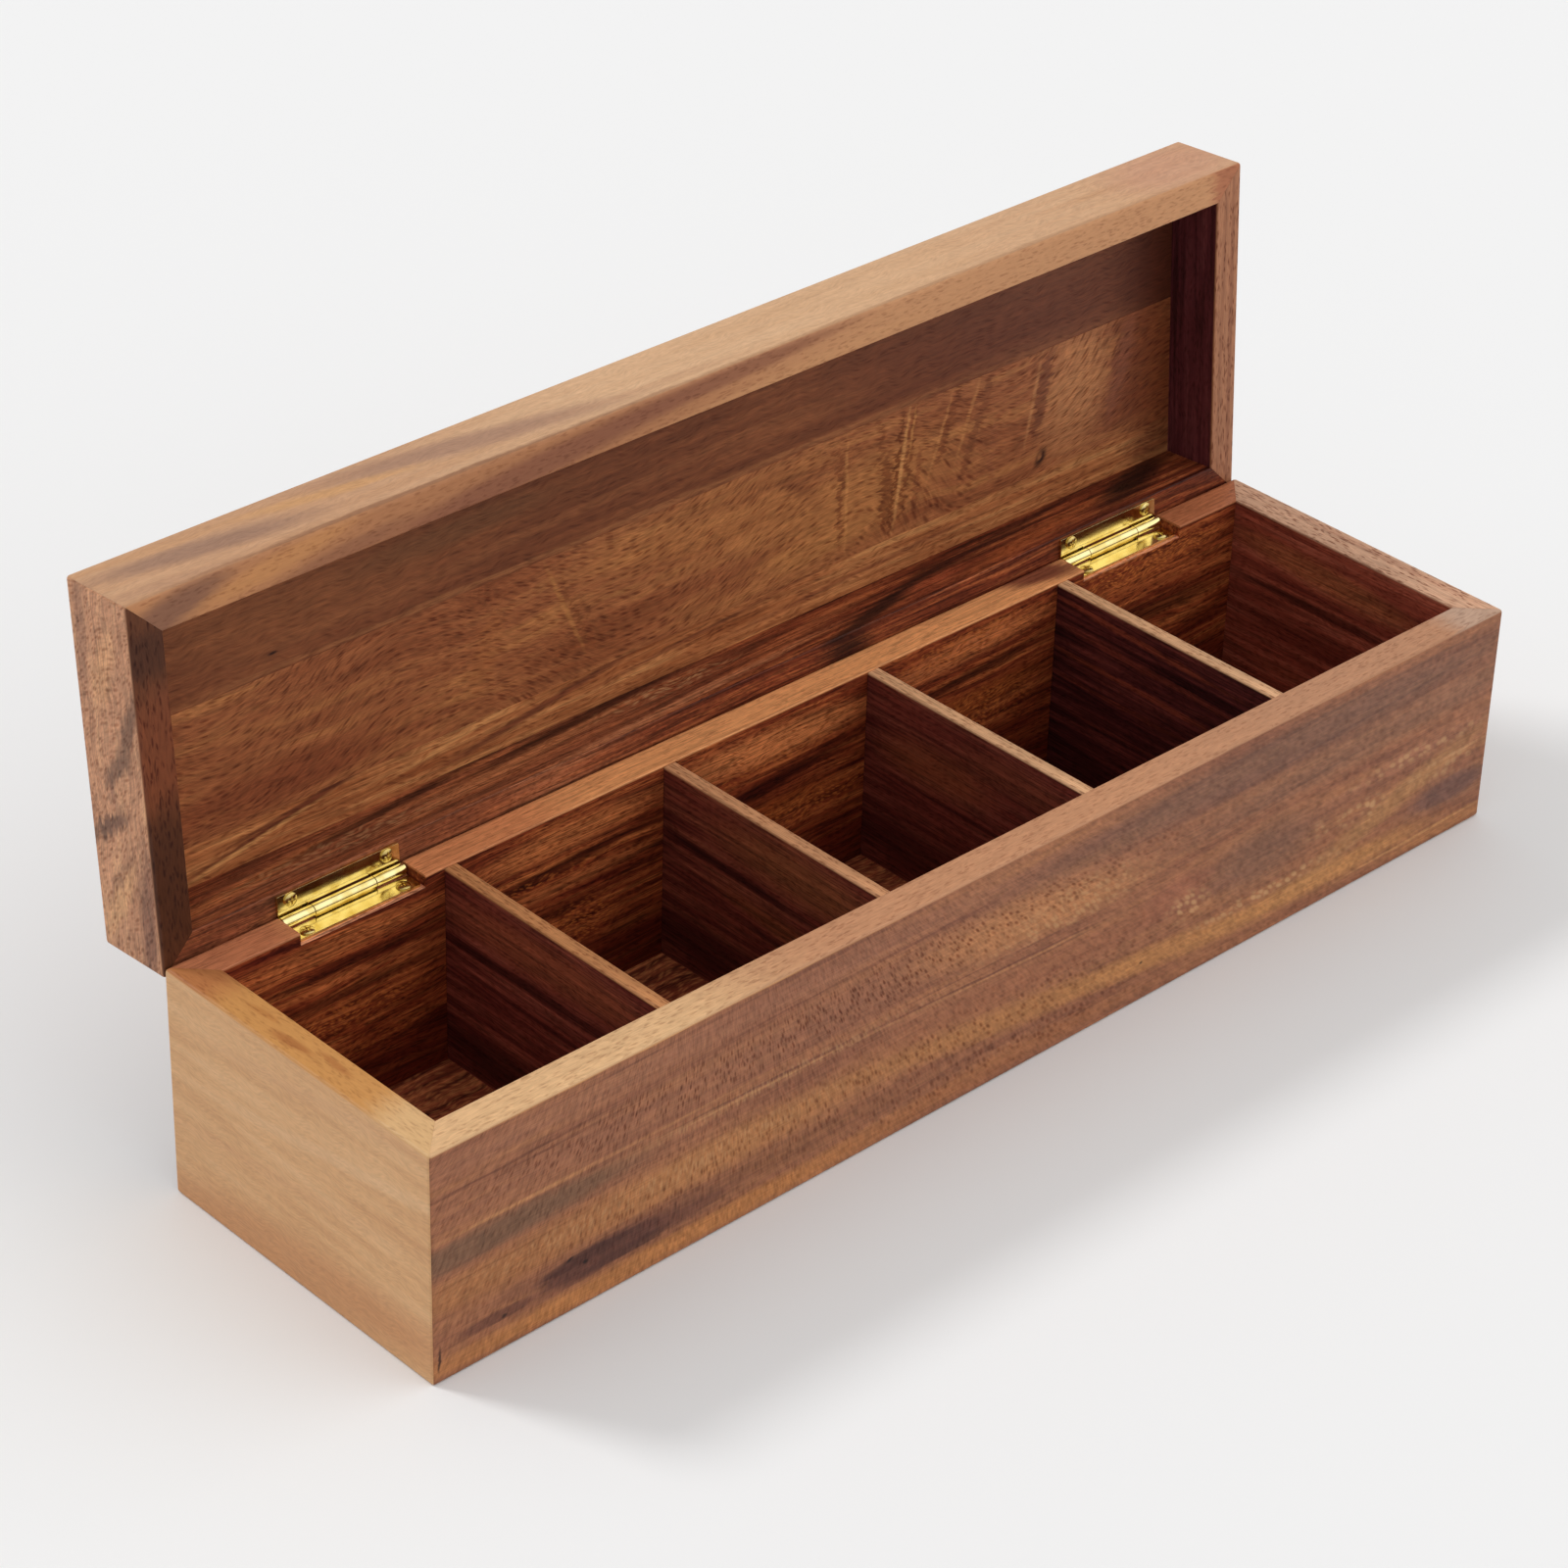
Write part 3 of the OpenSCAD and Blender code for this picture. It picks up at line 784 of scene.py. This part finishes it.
dividerShape = {"topEase": 0.6 * mm, "arris": 0.12 * mm}
dividerWood = {
    "along": (0, -1, 0), "growth": 0.5, "contrast": (0.72, 1.22), "rimPores": 0.1,
    "rimAt": (66.4, 1),
}
dividerFigures = [
    {
        "tones": ("#511a19", "#7b372f", "#ab5d4b"),
        "rimTone": "#cc8d5b",
        "streaks": [
            (50, 57, 50, 7, 2, "#af6142", 0.7), (40, 47, 40, 2, 0, "#2e0e10", 0.75),
            (40, 17, 45, 8, 0, "#2e0e10", 0.65),
        ],
    },
    {
        "tones": ("#4f1d19", "#833d31", "#ac6248"),
        "rimTone": "#d49a6e",
        "streaks": [
            (62, 57, 36, 8, 0, "#b16d43", 0.6), (35, 47, 36, 1.9, -3, "#351414", 0.85),
            (55, 39, 26, 3.4, -3, "#9e5a36", 0.6), (62, 33, 30, 1.2, -3, "#351414", 0.6),
            (40, 19, 45, 9, 0, "#411918", 0.7),
        ],
    },
    {
        "tones": ("#501e1b", "#813b31", "#9e5746"),
        "rimTone": "#e6b386",
        "streaks": [
            (36, 48, 24, 8, 4, "#a25c37", 0.55), (65, 58, 25, 6, 2, "#9b563c", 0.5),
            (40, 20, 45, 9, 0, "#461b19", 0.6),
        ],
    },
    {
        "tones": ("#291013", "#562525", "#8b453d"),
        "rimTone": "#e6b386",
        "streaks": [
            (40, 61.5, 40, 1.1, -2, "#a7523b", 0.75), (45, 54, 40, 1.3, -1.5, "#9b4a3a", 0.7),
            (40, 46.5, 40, 1.0, -1, "#a7523b", 0.7), (35, 39, 32, 0.9, 0, "#9b4a3a", 0.6),
            (40, 29, 34, 0.8, 0, "#8b4336", 0.5),
        ],
    },
]
for number, node in enumerate(dividers, 1):
    low, high = boxOf([node])
    divider = startBlock("divider%dBoard" % number, low, high)
    openMesh(divider, "EDGE")
    pickParts(divider, "EDGE", lambda e: allAt(e, 2, high.z) and (allAt(e, 0, low.x) or allAt(e, 0, high.x)))
    bpy.ops.mesh.bevel(offset=dividerShape["topEase"], segments=3, affect="EDGES")
    closeMesh()
    easeArrises(divider, dividerShape["arris"])
    wood = {**dividerWood, "corner": (low.x / mm, 50, 0), **dividerFigures[number - 1]}
    # each divider's top gets a lighter tone than its faces: painted light on the top, where the faces stand
    # in shade
    wood["rim"] = [(50, 0, 200, 400, 0, wood["rimTone"], 1.0)]
    handOver(divider, "base", node, acacia("divider%dWood" % number, wood))
print("stage: bottom and dividers")


# Lid

lidNodes = ["lid_front_rail", "lid_back_rail", "lid_left_rail", "lid_right_rail"]
lidLow, lidHigh = boxOf(lidNodes, closing)
lidPocketLow = boxOf(["lid_board_front"], closing)[0]
lidPocketHigh = boxOf(["lid_board_back"], closing)[1]

lidFrame = {
    "rail": 9.5 * mm,
    "rimAt": (0, -1),        # height of the rim in mm, and -1 where it faces down
    "ease": 1 * mm,
    "innerEase": 0.35 * mm,
    "arris": 0.1 * mm,
    "fit": 0.1 * mm,         # gap round the boards
}

lidWoods = {
    "front": {
        "corner": (-190, -50, 67.1), "along": (1, 0, 0),
        "tones": ("#c29269", "#cd9f78", "#d3a881"), "slot": "light_board",
        "bands": (90, 5), "growth": 0.05, "pores": 0.1, "contrast": (0.95, 1.03), "mottle": (0.97, 1.02),
        "streaks": [
            (56, 12, 100, 24, 0, "#b48463", 0.35), (200, 12, 110, 26, 0, "#dcb48b", 0.45),
            (32, 12.5, 36, 4.8, -7, "#98735e", 0.85), (112, 13, 52, 5.4, -10, "#a17962", 0.8),
            (70, 15, 30, 2.6, -9, "#cd9861", 0.65), (22, 20, 26, 2, -5, "#c49266", 0.5),
            (16, 3.5, 22, 2.6, -4, "#b28667", 0.6), (95, 1.0, 100, 1.5, 0, "#8d5e3e", 0.8),
            (260, 0.8, 120, 1.2, 0, "#a87a54", 0.6), (165, 6, 40, 2, -4, "#b78967", 0.4),
            (364, 12, 26, 16, 0, "#c69075", 0.6),
        ],
        "rim": [
            (190, 5, 400, 20, 0, "#bc8359", 1.0), (105, 5, 90, 14, 0, "#a56d49", 0.5),
            (305, 5, 110, 14, 0, "#d09a6d", 0.6), (10, 6, 22, 5, -14, "#845b47", 0.9),
            (44, 4, 26, 3, -8, "#c58a57", 0.8), (62, 8, 24, 2.4, -6, "#8a5942", 0.6),
            (125, 6, 60, 4, -4, "#8a563f", 0.85), (185, 2.5, 50, 2.6, -2, "#905b42", 0.8),
            (215, 8, 60, 1.6, -2, "#cb9466", 0.6), (376, 5, 8, 20, 0, "#a65d40", 0.7),
        ],
    },
    "back": {
        "corner": (-190, 50, 67.1), "along": (1, 0, 0),
        # these dark, reddened tones are painted shade of the rail's inner face; the outside entry gives its
        # outer faces a plainer tone
        "tones": ("#421309", "#853e24", "#c57141"), "slot": "dark_board",
        "outside": (0.52, 0.85, 1.0, 24),
        "bands": (50, 2.0), "growth": 0.55, "contrast": (0.66, 1.26), "grit": (0.84, 1.12),
        "streaks": [
            (95, 8, 120, 16, 4, "#b9754f", 0.4), (35, 9, 40, 2.2, 7, "#c57746", 0.7),
            (80, 13.5, 50, 1.8, 6, "#33100a", 0.75), (60, 2.6, 60, 1.2, 2, "#9b5331", 0.6),
            (118, 9, 46, 2.6, 5, "#cc8152", 0.75), (170, 3, 60, 1.6, 3, "#d38a5e", 0.75),
            (150, 15, 60, 2.2, 5, "#310f0a", 0.8), (222, 10, 34, 2.6, 8, "#b7693f", 0.6),
            (245, 5, 40, 3.0, 13, "#270b0a", 0.9), (266, 6.5, 14, 3.5, 8, "#b25836", 0.65),
            (304, 6, 34, 2.8, 7, "#a8582f", 0.75), (300, 13, 50, 2.0, 6, "#370f0c", 0.6),
            (350, 11, 24, 6, 18, "#220a0a", 0.9),
        ],
        "flecks": [(172, 11.5, 26, 3, 0.7), (60, 8, 40, 4, 0.4)],
    },
    "left": {
        "corner": (-190, -50, 67.1), "along": (0, 1, 0),
        "tones": ("#b5805f", "#ca926e", "#d7a177"), "slot": "brown_board",
        "bands": (34, 3), "wave": (34, 14, 9.0), "growth": 0.3, "pores": 0.6,
        "fan": (-150, -180, 260), "pore": (2.6, 0.9), "contrast": (0.85, 1.12), "mottle": (0.92, 1.07),
        "grit": (0.88, 1.08),
        "streaks": [
            (34, 4.5, 17, 2.8, 24, "#785542", 0.8), (47, 11, 9, 2.6, 40, "#785542", 0.8),
            (54, 13.5, 6, 1.4, -14, "#936853", 0.6), (63, 15, 11, 2.4, 56, "#6b493a", 0.85),
            (67, 20, 5, 3, 60, "#785542", 0.6), (12, 20, 22, 2.6, 6, "#a4755b", 0.7),
            (86, 4, 24, 3.6, 6, "#825643", 0.85), (84, 15, 16, 3.4, 30, "#e1ac79", 0.6),
            (20, 12, 14, 4, 20, "#dda574", 0.5), (75, 12, 14, 1.6, 38, "#93654c", 0.5),
        ],
        "rim": [
            (50, 5, 120, 20, 0, "#61361f", 1.0), (40, 5, 18, 20, 0, "#834529", 0.7),
            (76, 5, 22, 20, 0, "#492718", 0.7), (14, 5, 7, 20, 0, "#452517", 0.7),
        ],
    },
    "right": {
        "corner": (190, -50, 67.1), "along": (0, 1, 0),
        # these very dark tones are painted shade on the rail's inner face; the rim keeps the wood's own
        # tone, and the outside entry lightens the outer faces
        "tones": ("#3f191b", "#5e292d", "#793e3f"), "slot": "brown_board",
        "outside": (0.56, 1.05, 1.6, 24),
        "rim": [
            (50, 5, 120, 20, 0, "#ae7553", 1.0), (50, 3, 60, 0.9, 0, "#8e573c", 0.7),
            (40, 6.5, 50, 0.8, 1, "#935d40", 0.6),
        ],
    },
}

block = easedBlock("lidBlock", lidLow, lidHigh, lidFrame["ease"], lidFrame["ease"])
for side, wood in lidWoods.items():
    rail = mitredSide(block, side + "LidRail", side, lidLow, lidHigh, lidFrame["rail"])
    easeInnerRim(rail, side, lidLow, lidHigh, lidFrame["rail"], lidLow.z, lidFrame["innerEase"])
    fit = lidFrame["fit"] * Vector((1, 1, 0))
    cutOut(rail, startBlock("rebate", lidPocketLow - fit, lidPocketHigh + fit + pastFace))
    easeArrises(rail, lidFrame["arris"])
    if side == "back":
        for hinge in ("left", "right"):
            drillForScrews(rail, hinge, "lid")
    swingOpen(rail)
    wood = {"rimAt": lidFrame["rimAt"], **wood}
    handOver(rail, "lid", "lid_%s_rail" % side, acacia(side + "LidWood", wood, closing))
dropPiece(block)

lidBoardWoods = {
    "front": {
        "tones": ("#6e3c24", "#7f482b", "#935835"), "bands": (90, 4), "growth": 0.15, "pores": 0.4,
        "contrast": (0.84, 1.12),
        "streaks": [
            (60, 66, 90, 10, 0, "#8f5733", 0.5), (200, 72, 160, 2.0, 1, "#66361f", 0.5),
            (120, 57, 110, 1.6, 2, "#965c38", 0.5), (310, 60, 90, 16, 0, "#6a3622", 0.65),
            # the dark zone at the right end (u 362), by the right rail, is partly the wood's own darker tone
            # and partly painted shade of the rail
            (362, 64, 26, 40, 0, "#4d2215", 0.85), (150, 48.9, 180, 1.0, 0, "#a26840", 0.7),
            (100, 66, 40, 4, 0, "#6f472c", 0.6),
        ],
        "pore": (4.6, 0.85),
        "lines": [(42, 53.3, 1.6, 0.5, 0, "#2c140d", 0.95)],
    },
    "middle": {
        "tones": ("#8b4d2c", "#a1603a", "#ba7a47"), "bands": (60, 6), "wave": (60, 30, 10.0),
        "ripple": (130, 11.0), "growth": 0.2, "pores": 0.75, "contrast": (0.82, 1.13), "pore": (4.2, 0.9),
        "grit": (0.84, 1.12),
        "streaks": [
            (40, 18, 60, 6, 0, "#854429", 0.7), (60, 38, 50, 8, 4, "#8d4f2f", 0.4),
            (70, 47, 60, 1.6, 3, "#864a2b", 0.5), (108, 30, 12, 5, 70, "#ac693a", 0.4),
            (190, 36, 60, 8, -6, "#bd7c46", 0.55), (205, 22, 50, 3, 14, "#915431", 0.5),
            (220, 34, 16, 3, -42, "#8b4f2f", 0.5), (200, 44, 50, 3, -4, "#ab6f3d", 0.4),
            (240, 26, 40, 14, 10, "#bd7d47", 0.65), (322, 32, 22, 16, 70, "#c08051", 0.75),
            # the dark zone at the right end (u 352), by the right rail, is partly the wood's own darker tone
            # and partly painted shade of the rail
            (352, 30, 20, 30, 0, "#7a3d21", 0.85), (341, 34, 20, 4, 72, "#8c5037", 0.75),
        ],
        "blots": [
            (231.5, 30, 18, 1.1, 87, "#834726", 0.7), (248, 26, 13, 2.2, 84, "#7c401f", 0.7),
            (246.5, 40, 9, 1.0, 82, "#7c401f", 0.5), (252, 30, 20, 1.0, 78, "#713615", 0.8),
            (256.5, 31, 20, 1.2, 78, "#7c401f", 0.75), (260, 24, 12, 1.3, 80, "#884929", 0.6),
            (272, 37, 13, 1.5, 66, "#804424", 0.7), (283, 33, 20, 1.9, 66, "#844a2b", 0.7),
            (290, 24, 12, 1.2, 80, "#955639", 0.4), (309, 34, 15, 2.4, 75, "#7e452b", 0.8),
            (137, 30, 16, 0.9, 112, "#834a27", 0.6), (143, 24, 12, 0.8, 112, "#884f2d", 0.5),
        ],
        "lines": [
            (233.6, 30, 18, 0.7, 87, "#cb8a50", 0.7), (254.3, 31, 20, 0.8, 78, "#d39458", 0.85),
            (258.6, 40, 9, 0.6, 78, "#cd8c50", 0.6), (269, 35, 14, 0.7, 66, "#cb8951", 0.5),
            (280, 37, 14, 0.8, 66, "#cb8951", 0.5), (305.5, 34, 15, 0.8, 75, "#c88956", 0.5),
            (134, 32, 16, 0.9, 112, "#c5844a", 0.6), (308.4, 15.6, 3.2, 2.0, 55, "#36180c", 1.0),
            (308.0, 16.0, 1.6, 0.9, 55, "#985f3a", 0.95),
        ],
    },
    "back": {
        "tones": ("#93502a", "#b87243", "#d6955b"), "growth": 0.35, "pores": 0.6, "contrast": (0.82, 1.14),
        "pore": (3.6, 0.8),
        "lines": [
            (42, 7.5, 38, 1.1, 10, "#703621", 0.9), (50, 9.8, 36, 0.6, 8, "#68321f", 0.75),
            (125, 7, 40, 1.3, 8, "#773d27", 0.85), (30, 4.5, 26, 0.8, 10, "#e4a463", 0.7),
            (100, 9, 30, 0.8, 8, "#df9f61", 0.6), (180, 8, 50, 0.8, 4, "#80462c", 0.6),
            # the dark zone at the right end (u 355), by the right rail, is partly the wood's own darker tone
            # and partly painted shade of the rail
            (240, 5, 60, 0.9, 2, "#80462c", 0.6), (355, 5, 14, 8, 0, "#6f3721", 0.7),
        ],
    },
}
for place, wood in lidBoardWoods.items():
    wood = {"corner": (-180.5, 40.5, 84.1), "along": (1, 0, 0), "across": (0, -1, 0), **wood}
    node = "lid_board_" + place
    board = startBlock(place + "LidBoard", *boxOf([node], closing))
    easeArrises(board, lidFrame["arris"])
    swingOpen(board)
    handOver(board, "lid", node, acacia(place + "LidBoardWood", wood, closing))
print("stage: lid")


# Hinges

hingeBrass = {"bright": "#f0dfa2", "dull": "#dcc579", "rough": (0.1, 0.18)}
screwBrass = {"bright": "#e8d48e", "dull": "#c9ab5f", "rough": (0.14, 0.24)}


def hingeLeaf(name, x, half, runs):
    # a flat sheet at the middle of its thickness, whose tongues curl round the pin
    z = pin.z - hingeShape["set"] + hingeShape["sheet"] / 2
    near = pin.y - hingeShape["leafClear"]
    far = pin.y - hingeShape["leaf"]
    pickNone()
    bpy.ops.mesh.primitive_plane_add(size=1, location=(x, (near + far) / 2, z))
    bpy.context.object.scale = (2 * half, near - far, 1)
    leaf = settle(name)
    openMesh(leaf, "VERT")
    pickParts(leaf, "VERT", lambda v: abs(v.co.y - far) < slack)
    bpy.ops.mesh.bevel(offset=hingeShape["corner"], segments=4, affect="VERTICES")
    for place in sorted({x + edge for run in runs for edge in run if abs(edge) < half}):
        bpy.ops.mesh.select_all(action="SELECT")
        bpy.ops.mesh.bisect(plane_co=(place, 0, 0), plane_no=(1, 0, 0))

    def inRun(edge):
        middle = (edge.verts[0].co + edge.verts[1].co) / 2
        return any(run[0] < middle.x - x < run[1] for run in runs)

    pickParts(leaf, "EDGE", lambda e: allAt(e, 1, near) and inRun(e))
    lift = hingeShape["set"] - hingeShape["sheet"] / 2 - hingeShape["curl"]
    bpy.ops.mesh.extrude_edges_move(TRANSFORM_OT_translate={"value": (0, pin.y - near, lift)})
    curl = -math.radians(hingeShape["curlTurn"])
    bpy.ops.mesh.spin(steps=hingeShape["curlSteps"], angle=curl, center=pin, axis=(1, 0, 0))
    closeMesh()
    thick = leaf.modifiers.new("sheet", "SOLIDIFY")
    thick.thickness = hingeShape["sheet"]
    thick.offset = 0
    thick.use_even_offset = True
    bpy.ops.object.modifier_apply(modifier=thick.name)
    tidyNormals(leaf)
    easeArrises(leaf, hingeShape["arris"])
    return leaf


def flipOver(piece):
    # the lid's leaf and screws lie on the other side of the pin when the box is closed
    openMesh(piece)
    bpy.ops.transform.resize(value=(1, 1, -1), center_override=pin)
    bpy.ops.mesh.normals_make_consistent(inside=False)
    closeMesh()


def crossHeadScrew():
    # the top of the head is raised in rings to a dome, and the cross is cut into it
    radius = screwShape["head"] / 2
    rise = screwShape["height"] - screwShape["rim"]
    ball = (radius ** 2 + rise ** 2) / (2 * rise)
    pickNone()
    bpy.ops.mesh.primitive_cylinder_add(vertices=40, radius=radius, depth=screwShape["rim"],
                                        location=(0, 0, screwShape["rim"] / 2))
    screw = settle("crossHeadScrew")
    openMesh(screw)
    pickParts(screw, "FACE", lambda f: f.normal.z > 0.9)
    rings = screwShape["rings"]
    for ring in range(rings):
        inner = radius * (1 - (ring + 1) / (rings + 1))
        outer = radius * (1 - ring / (rings + 1))
        step = math.sqrt(ball ** 2 - inner ** 2) - math.sqrt(ball ** 2 - outer ** 2)
        bpy.ops.mesh.inset(thickness=outer - inner, depth=0)
        bpy.ops.transform.translate(value=(0, 0, step))
    pickParts(screw, "FACE", lambda f: f.normal.z < -0.9)
    bpy.ops.mesh.inset(thickness=radius - screwShape["shank"] / 2, depth=0)
    bpy.ops.mesh.extrude_region_move(
        TRANSFORM_OT_translate={"value": (0, 0, screwShape["tip"] - screwShape["length"])})
    bpy.ops.mesh.extrude_region_move(TRANSFORM_OT_translate={"value": (0, 0, -screwShape["tip"])})
    bpy.ops.transform.resize(value=(screwShape["point"], screwShape["point"], 1))
    closeMesh()
    for turn in (0, 90):
        size = (screwShape["cross"], screwShape["arm"], 2 * screwShape["depth"])
        pickNone()
        bpy.ops.mesh.primitive_cube_add(size=1, location=(0, 0, screwShape["height"]), scale=size,
                                        rotation=(0, 0, math.radians(turn)))
        cutOut(screw, settle("arm"))
    easeArrises(screw, screwShape["arris"], above=50)
    return screw


hingeMetal = brass("hingeBrass", hingeBrass)
screwMetal = brass("screwBrass", screwBrass)
screw = crossHeadScrew()
for side in ("left", "right"):
    leafLow, leafHigh = boxOf([side + "_hinge_base_leaf"])
    x = (leafLow.x + leafHigh.x) / 2
    half = (leafHigh.x - leafLow.x) / 2
    mid = hingeShape["midKnuckle"] / 2
    away = mid + hingeShape["gap"]
    baseLeaf = hingeLeaf(side + "HingeBaseLeaf", x, half, [(-mid, mid)])
    drillForScrews(baseLeaf, side)
    handOver(baseLeaf, "base", side + "_hinge_base_leaf", hingeMetal, 40)
    lidLeaf = hingeLeaf(side + "HingeLidLeaf", x, half, [(-half, -away), (away, half)])
    flipOver(lidLeaf)
    drillForScrews(lidLeaf, side, "lid")
    swingOpen(lidLeaf)
    handOver(lidLeaf, "lid", side + "_hinge_lid_leaf", hingeMetal, 40)

    pinLow, pinHigh = boxOf([side + "_hinge_pin"])
    pickNone()
    size = pinHigh - pinLow
    bpy.ops.mesh.primitive_cylinder_add(vertices=32, radius=size.z / 2, depth=size.x,
                                        location=(pinLow + pinHigh) / 2, rotation=(0, math.pi / 2, 0))
    rod = settle(side + "HingePinRod")
    easeArrises(rod, hingeShape["pinEase"], 3)
    handOver(rod, "base", side + "_hinge_pin", hingeMetal)

    for body in ("base", "lid"):
        node = "%s_hinge_%s_screws" % (side, body)
        low, high = boxOf([node], asItStands if body == "base" else closing)
        spots = [low.x + screwShape["head"] / 2, high.x - screwShape["head"] / 2]
        y = (low.y + high.y) / 2
        pair = []
        for spot in spots:
            one = copyOf(screw, "screw")
            openMesh(one)
            seat = pin.z - hingeShape["set"] + hingeShape["sheet"]
            bpy.ops.transform.translate(value=(spot, y, seat))
            closeMesh()
            pair.append(one)
        pickPiece(pair[0])
        pair[1].select_set(True)
        bpy.ops.object.join()
        both = bpy.context.object
        both.name = "%sHinge%sScrews" % (side, body.capitalize())
        if body == "lid":
            flipOver(both)
            swingOpen(both)
        handOver(both, body, node, screwMetal)
dropPiece(screw)
print("stage: hinges and screws")


# Floor, light and camera

studio = {
    "floorHalf": 8.0,
    "floorTone": (0.88, 0.88, 0.88, 1), "floorRough": 0.9, "floorShine": 0.1,
    "dome": 0.57,
    "glowFrom": (0.62, -0.54, 0.57), "glow": 0.9, "glowSpread": 3,  # the brighter side of the dome
    "sunFrom": (-0.30, 0.64, 0.71), "sunPower": 1.05, "sunAngle": 13,
}

pickNone()
bpy.ops.mesh.primitive_plane_add(size=2 * studio["floorHalf"])
floor = bpy.context.object
floor.name = "floor"
floorPaint = bpy.data.materials.new("floorPaint")
floorPaint.use_nodes = True
floorShader = floorPaint.node_tree.nodes["Principled BSDF"]
floorShader.inputs["Base Color"].default_value = studio["floorTone"]
floorShader.inputs["Roughness"].default_value = studio["floorRough"]
floorShader.inputs["Specular IOR Level"].default_value = studio["floorShine"]
floor.data.materials.append(floorPaint)

world = bpy.data.worlds.new("softDome")
bpy.context.scene.world = world
world.use_nodes = True
sky = world.node_tree
facing = put(sky, "VectorMath", {
    0: put(sky, "TexCoord", {}).outputs["Generated"],
    1: Vector(studio["glowFrom"]).normalized(),
}, operation="DOT_PRODUCT").outputs["Value"]
lobe = calc(sky, "POWER", calc(sky, "MAXIMUM", facing, 0.0), studio["glowSpread"])
strength = calc(sky, "MULTIPLY_ADD", lobe, studio["glow"], studio["dome"])
sky.nodes["Background"].inputs["Color"].default_value = (1, 1, 1, 1)
sky.links.new(strength, sky.nodes["Background"].inputs["Strength"])

sunLamp = bpy.data.lights.new("sun", "SUN")
sunLamp.energy = studio["sunPower"]
sunLamp.angle = math.radians(studio["sunAngle"])
sun = bpy.data.objects.new("sun", sunLamp)
bpy.context.scene.collection.objects.link(sun)
sun.rotation_euler = Vector(studio["sunFrom"]).to_track_quat("Z", "Y").to_euler()

cameraView = {
    "place": Vector((-707.20, -699.32, 690.87)) * mm,
    "turn": (57.7464, -1.4504, -42.9906),
    "lens": 104.90,
    "sensor": 36,
    "nearest": 0.01,
}
lens = bpy.data.cameras.new("camera")
camera = bpy.data.objects.new("camera", lens)
bpy.context.scene.collection.objects.link(camera)
camera.location = cameraView["place"]
camera.rotation_euler = [math.radians(a) for a in cameraView["turn"]]
lens.sensor_width = cameraView["sensor"]
lens.lens = cameraView["lens"]
lens.clip_start = cameraView["nearest"]
bpy.context.scene.camera = camera
bpy.context.scene.view_settings.view_transform = "Standard"
print("stage: floor, light and camera")
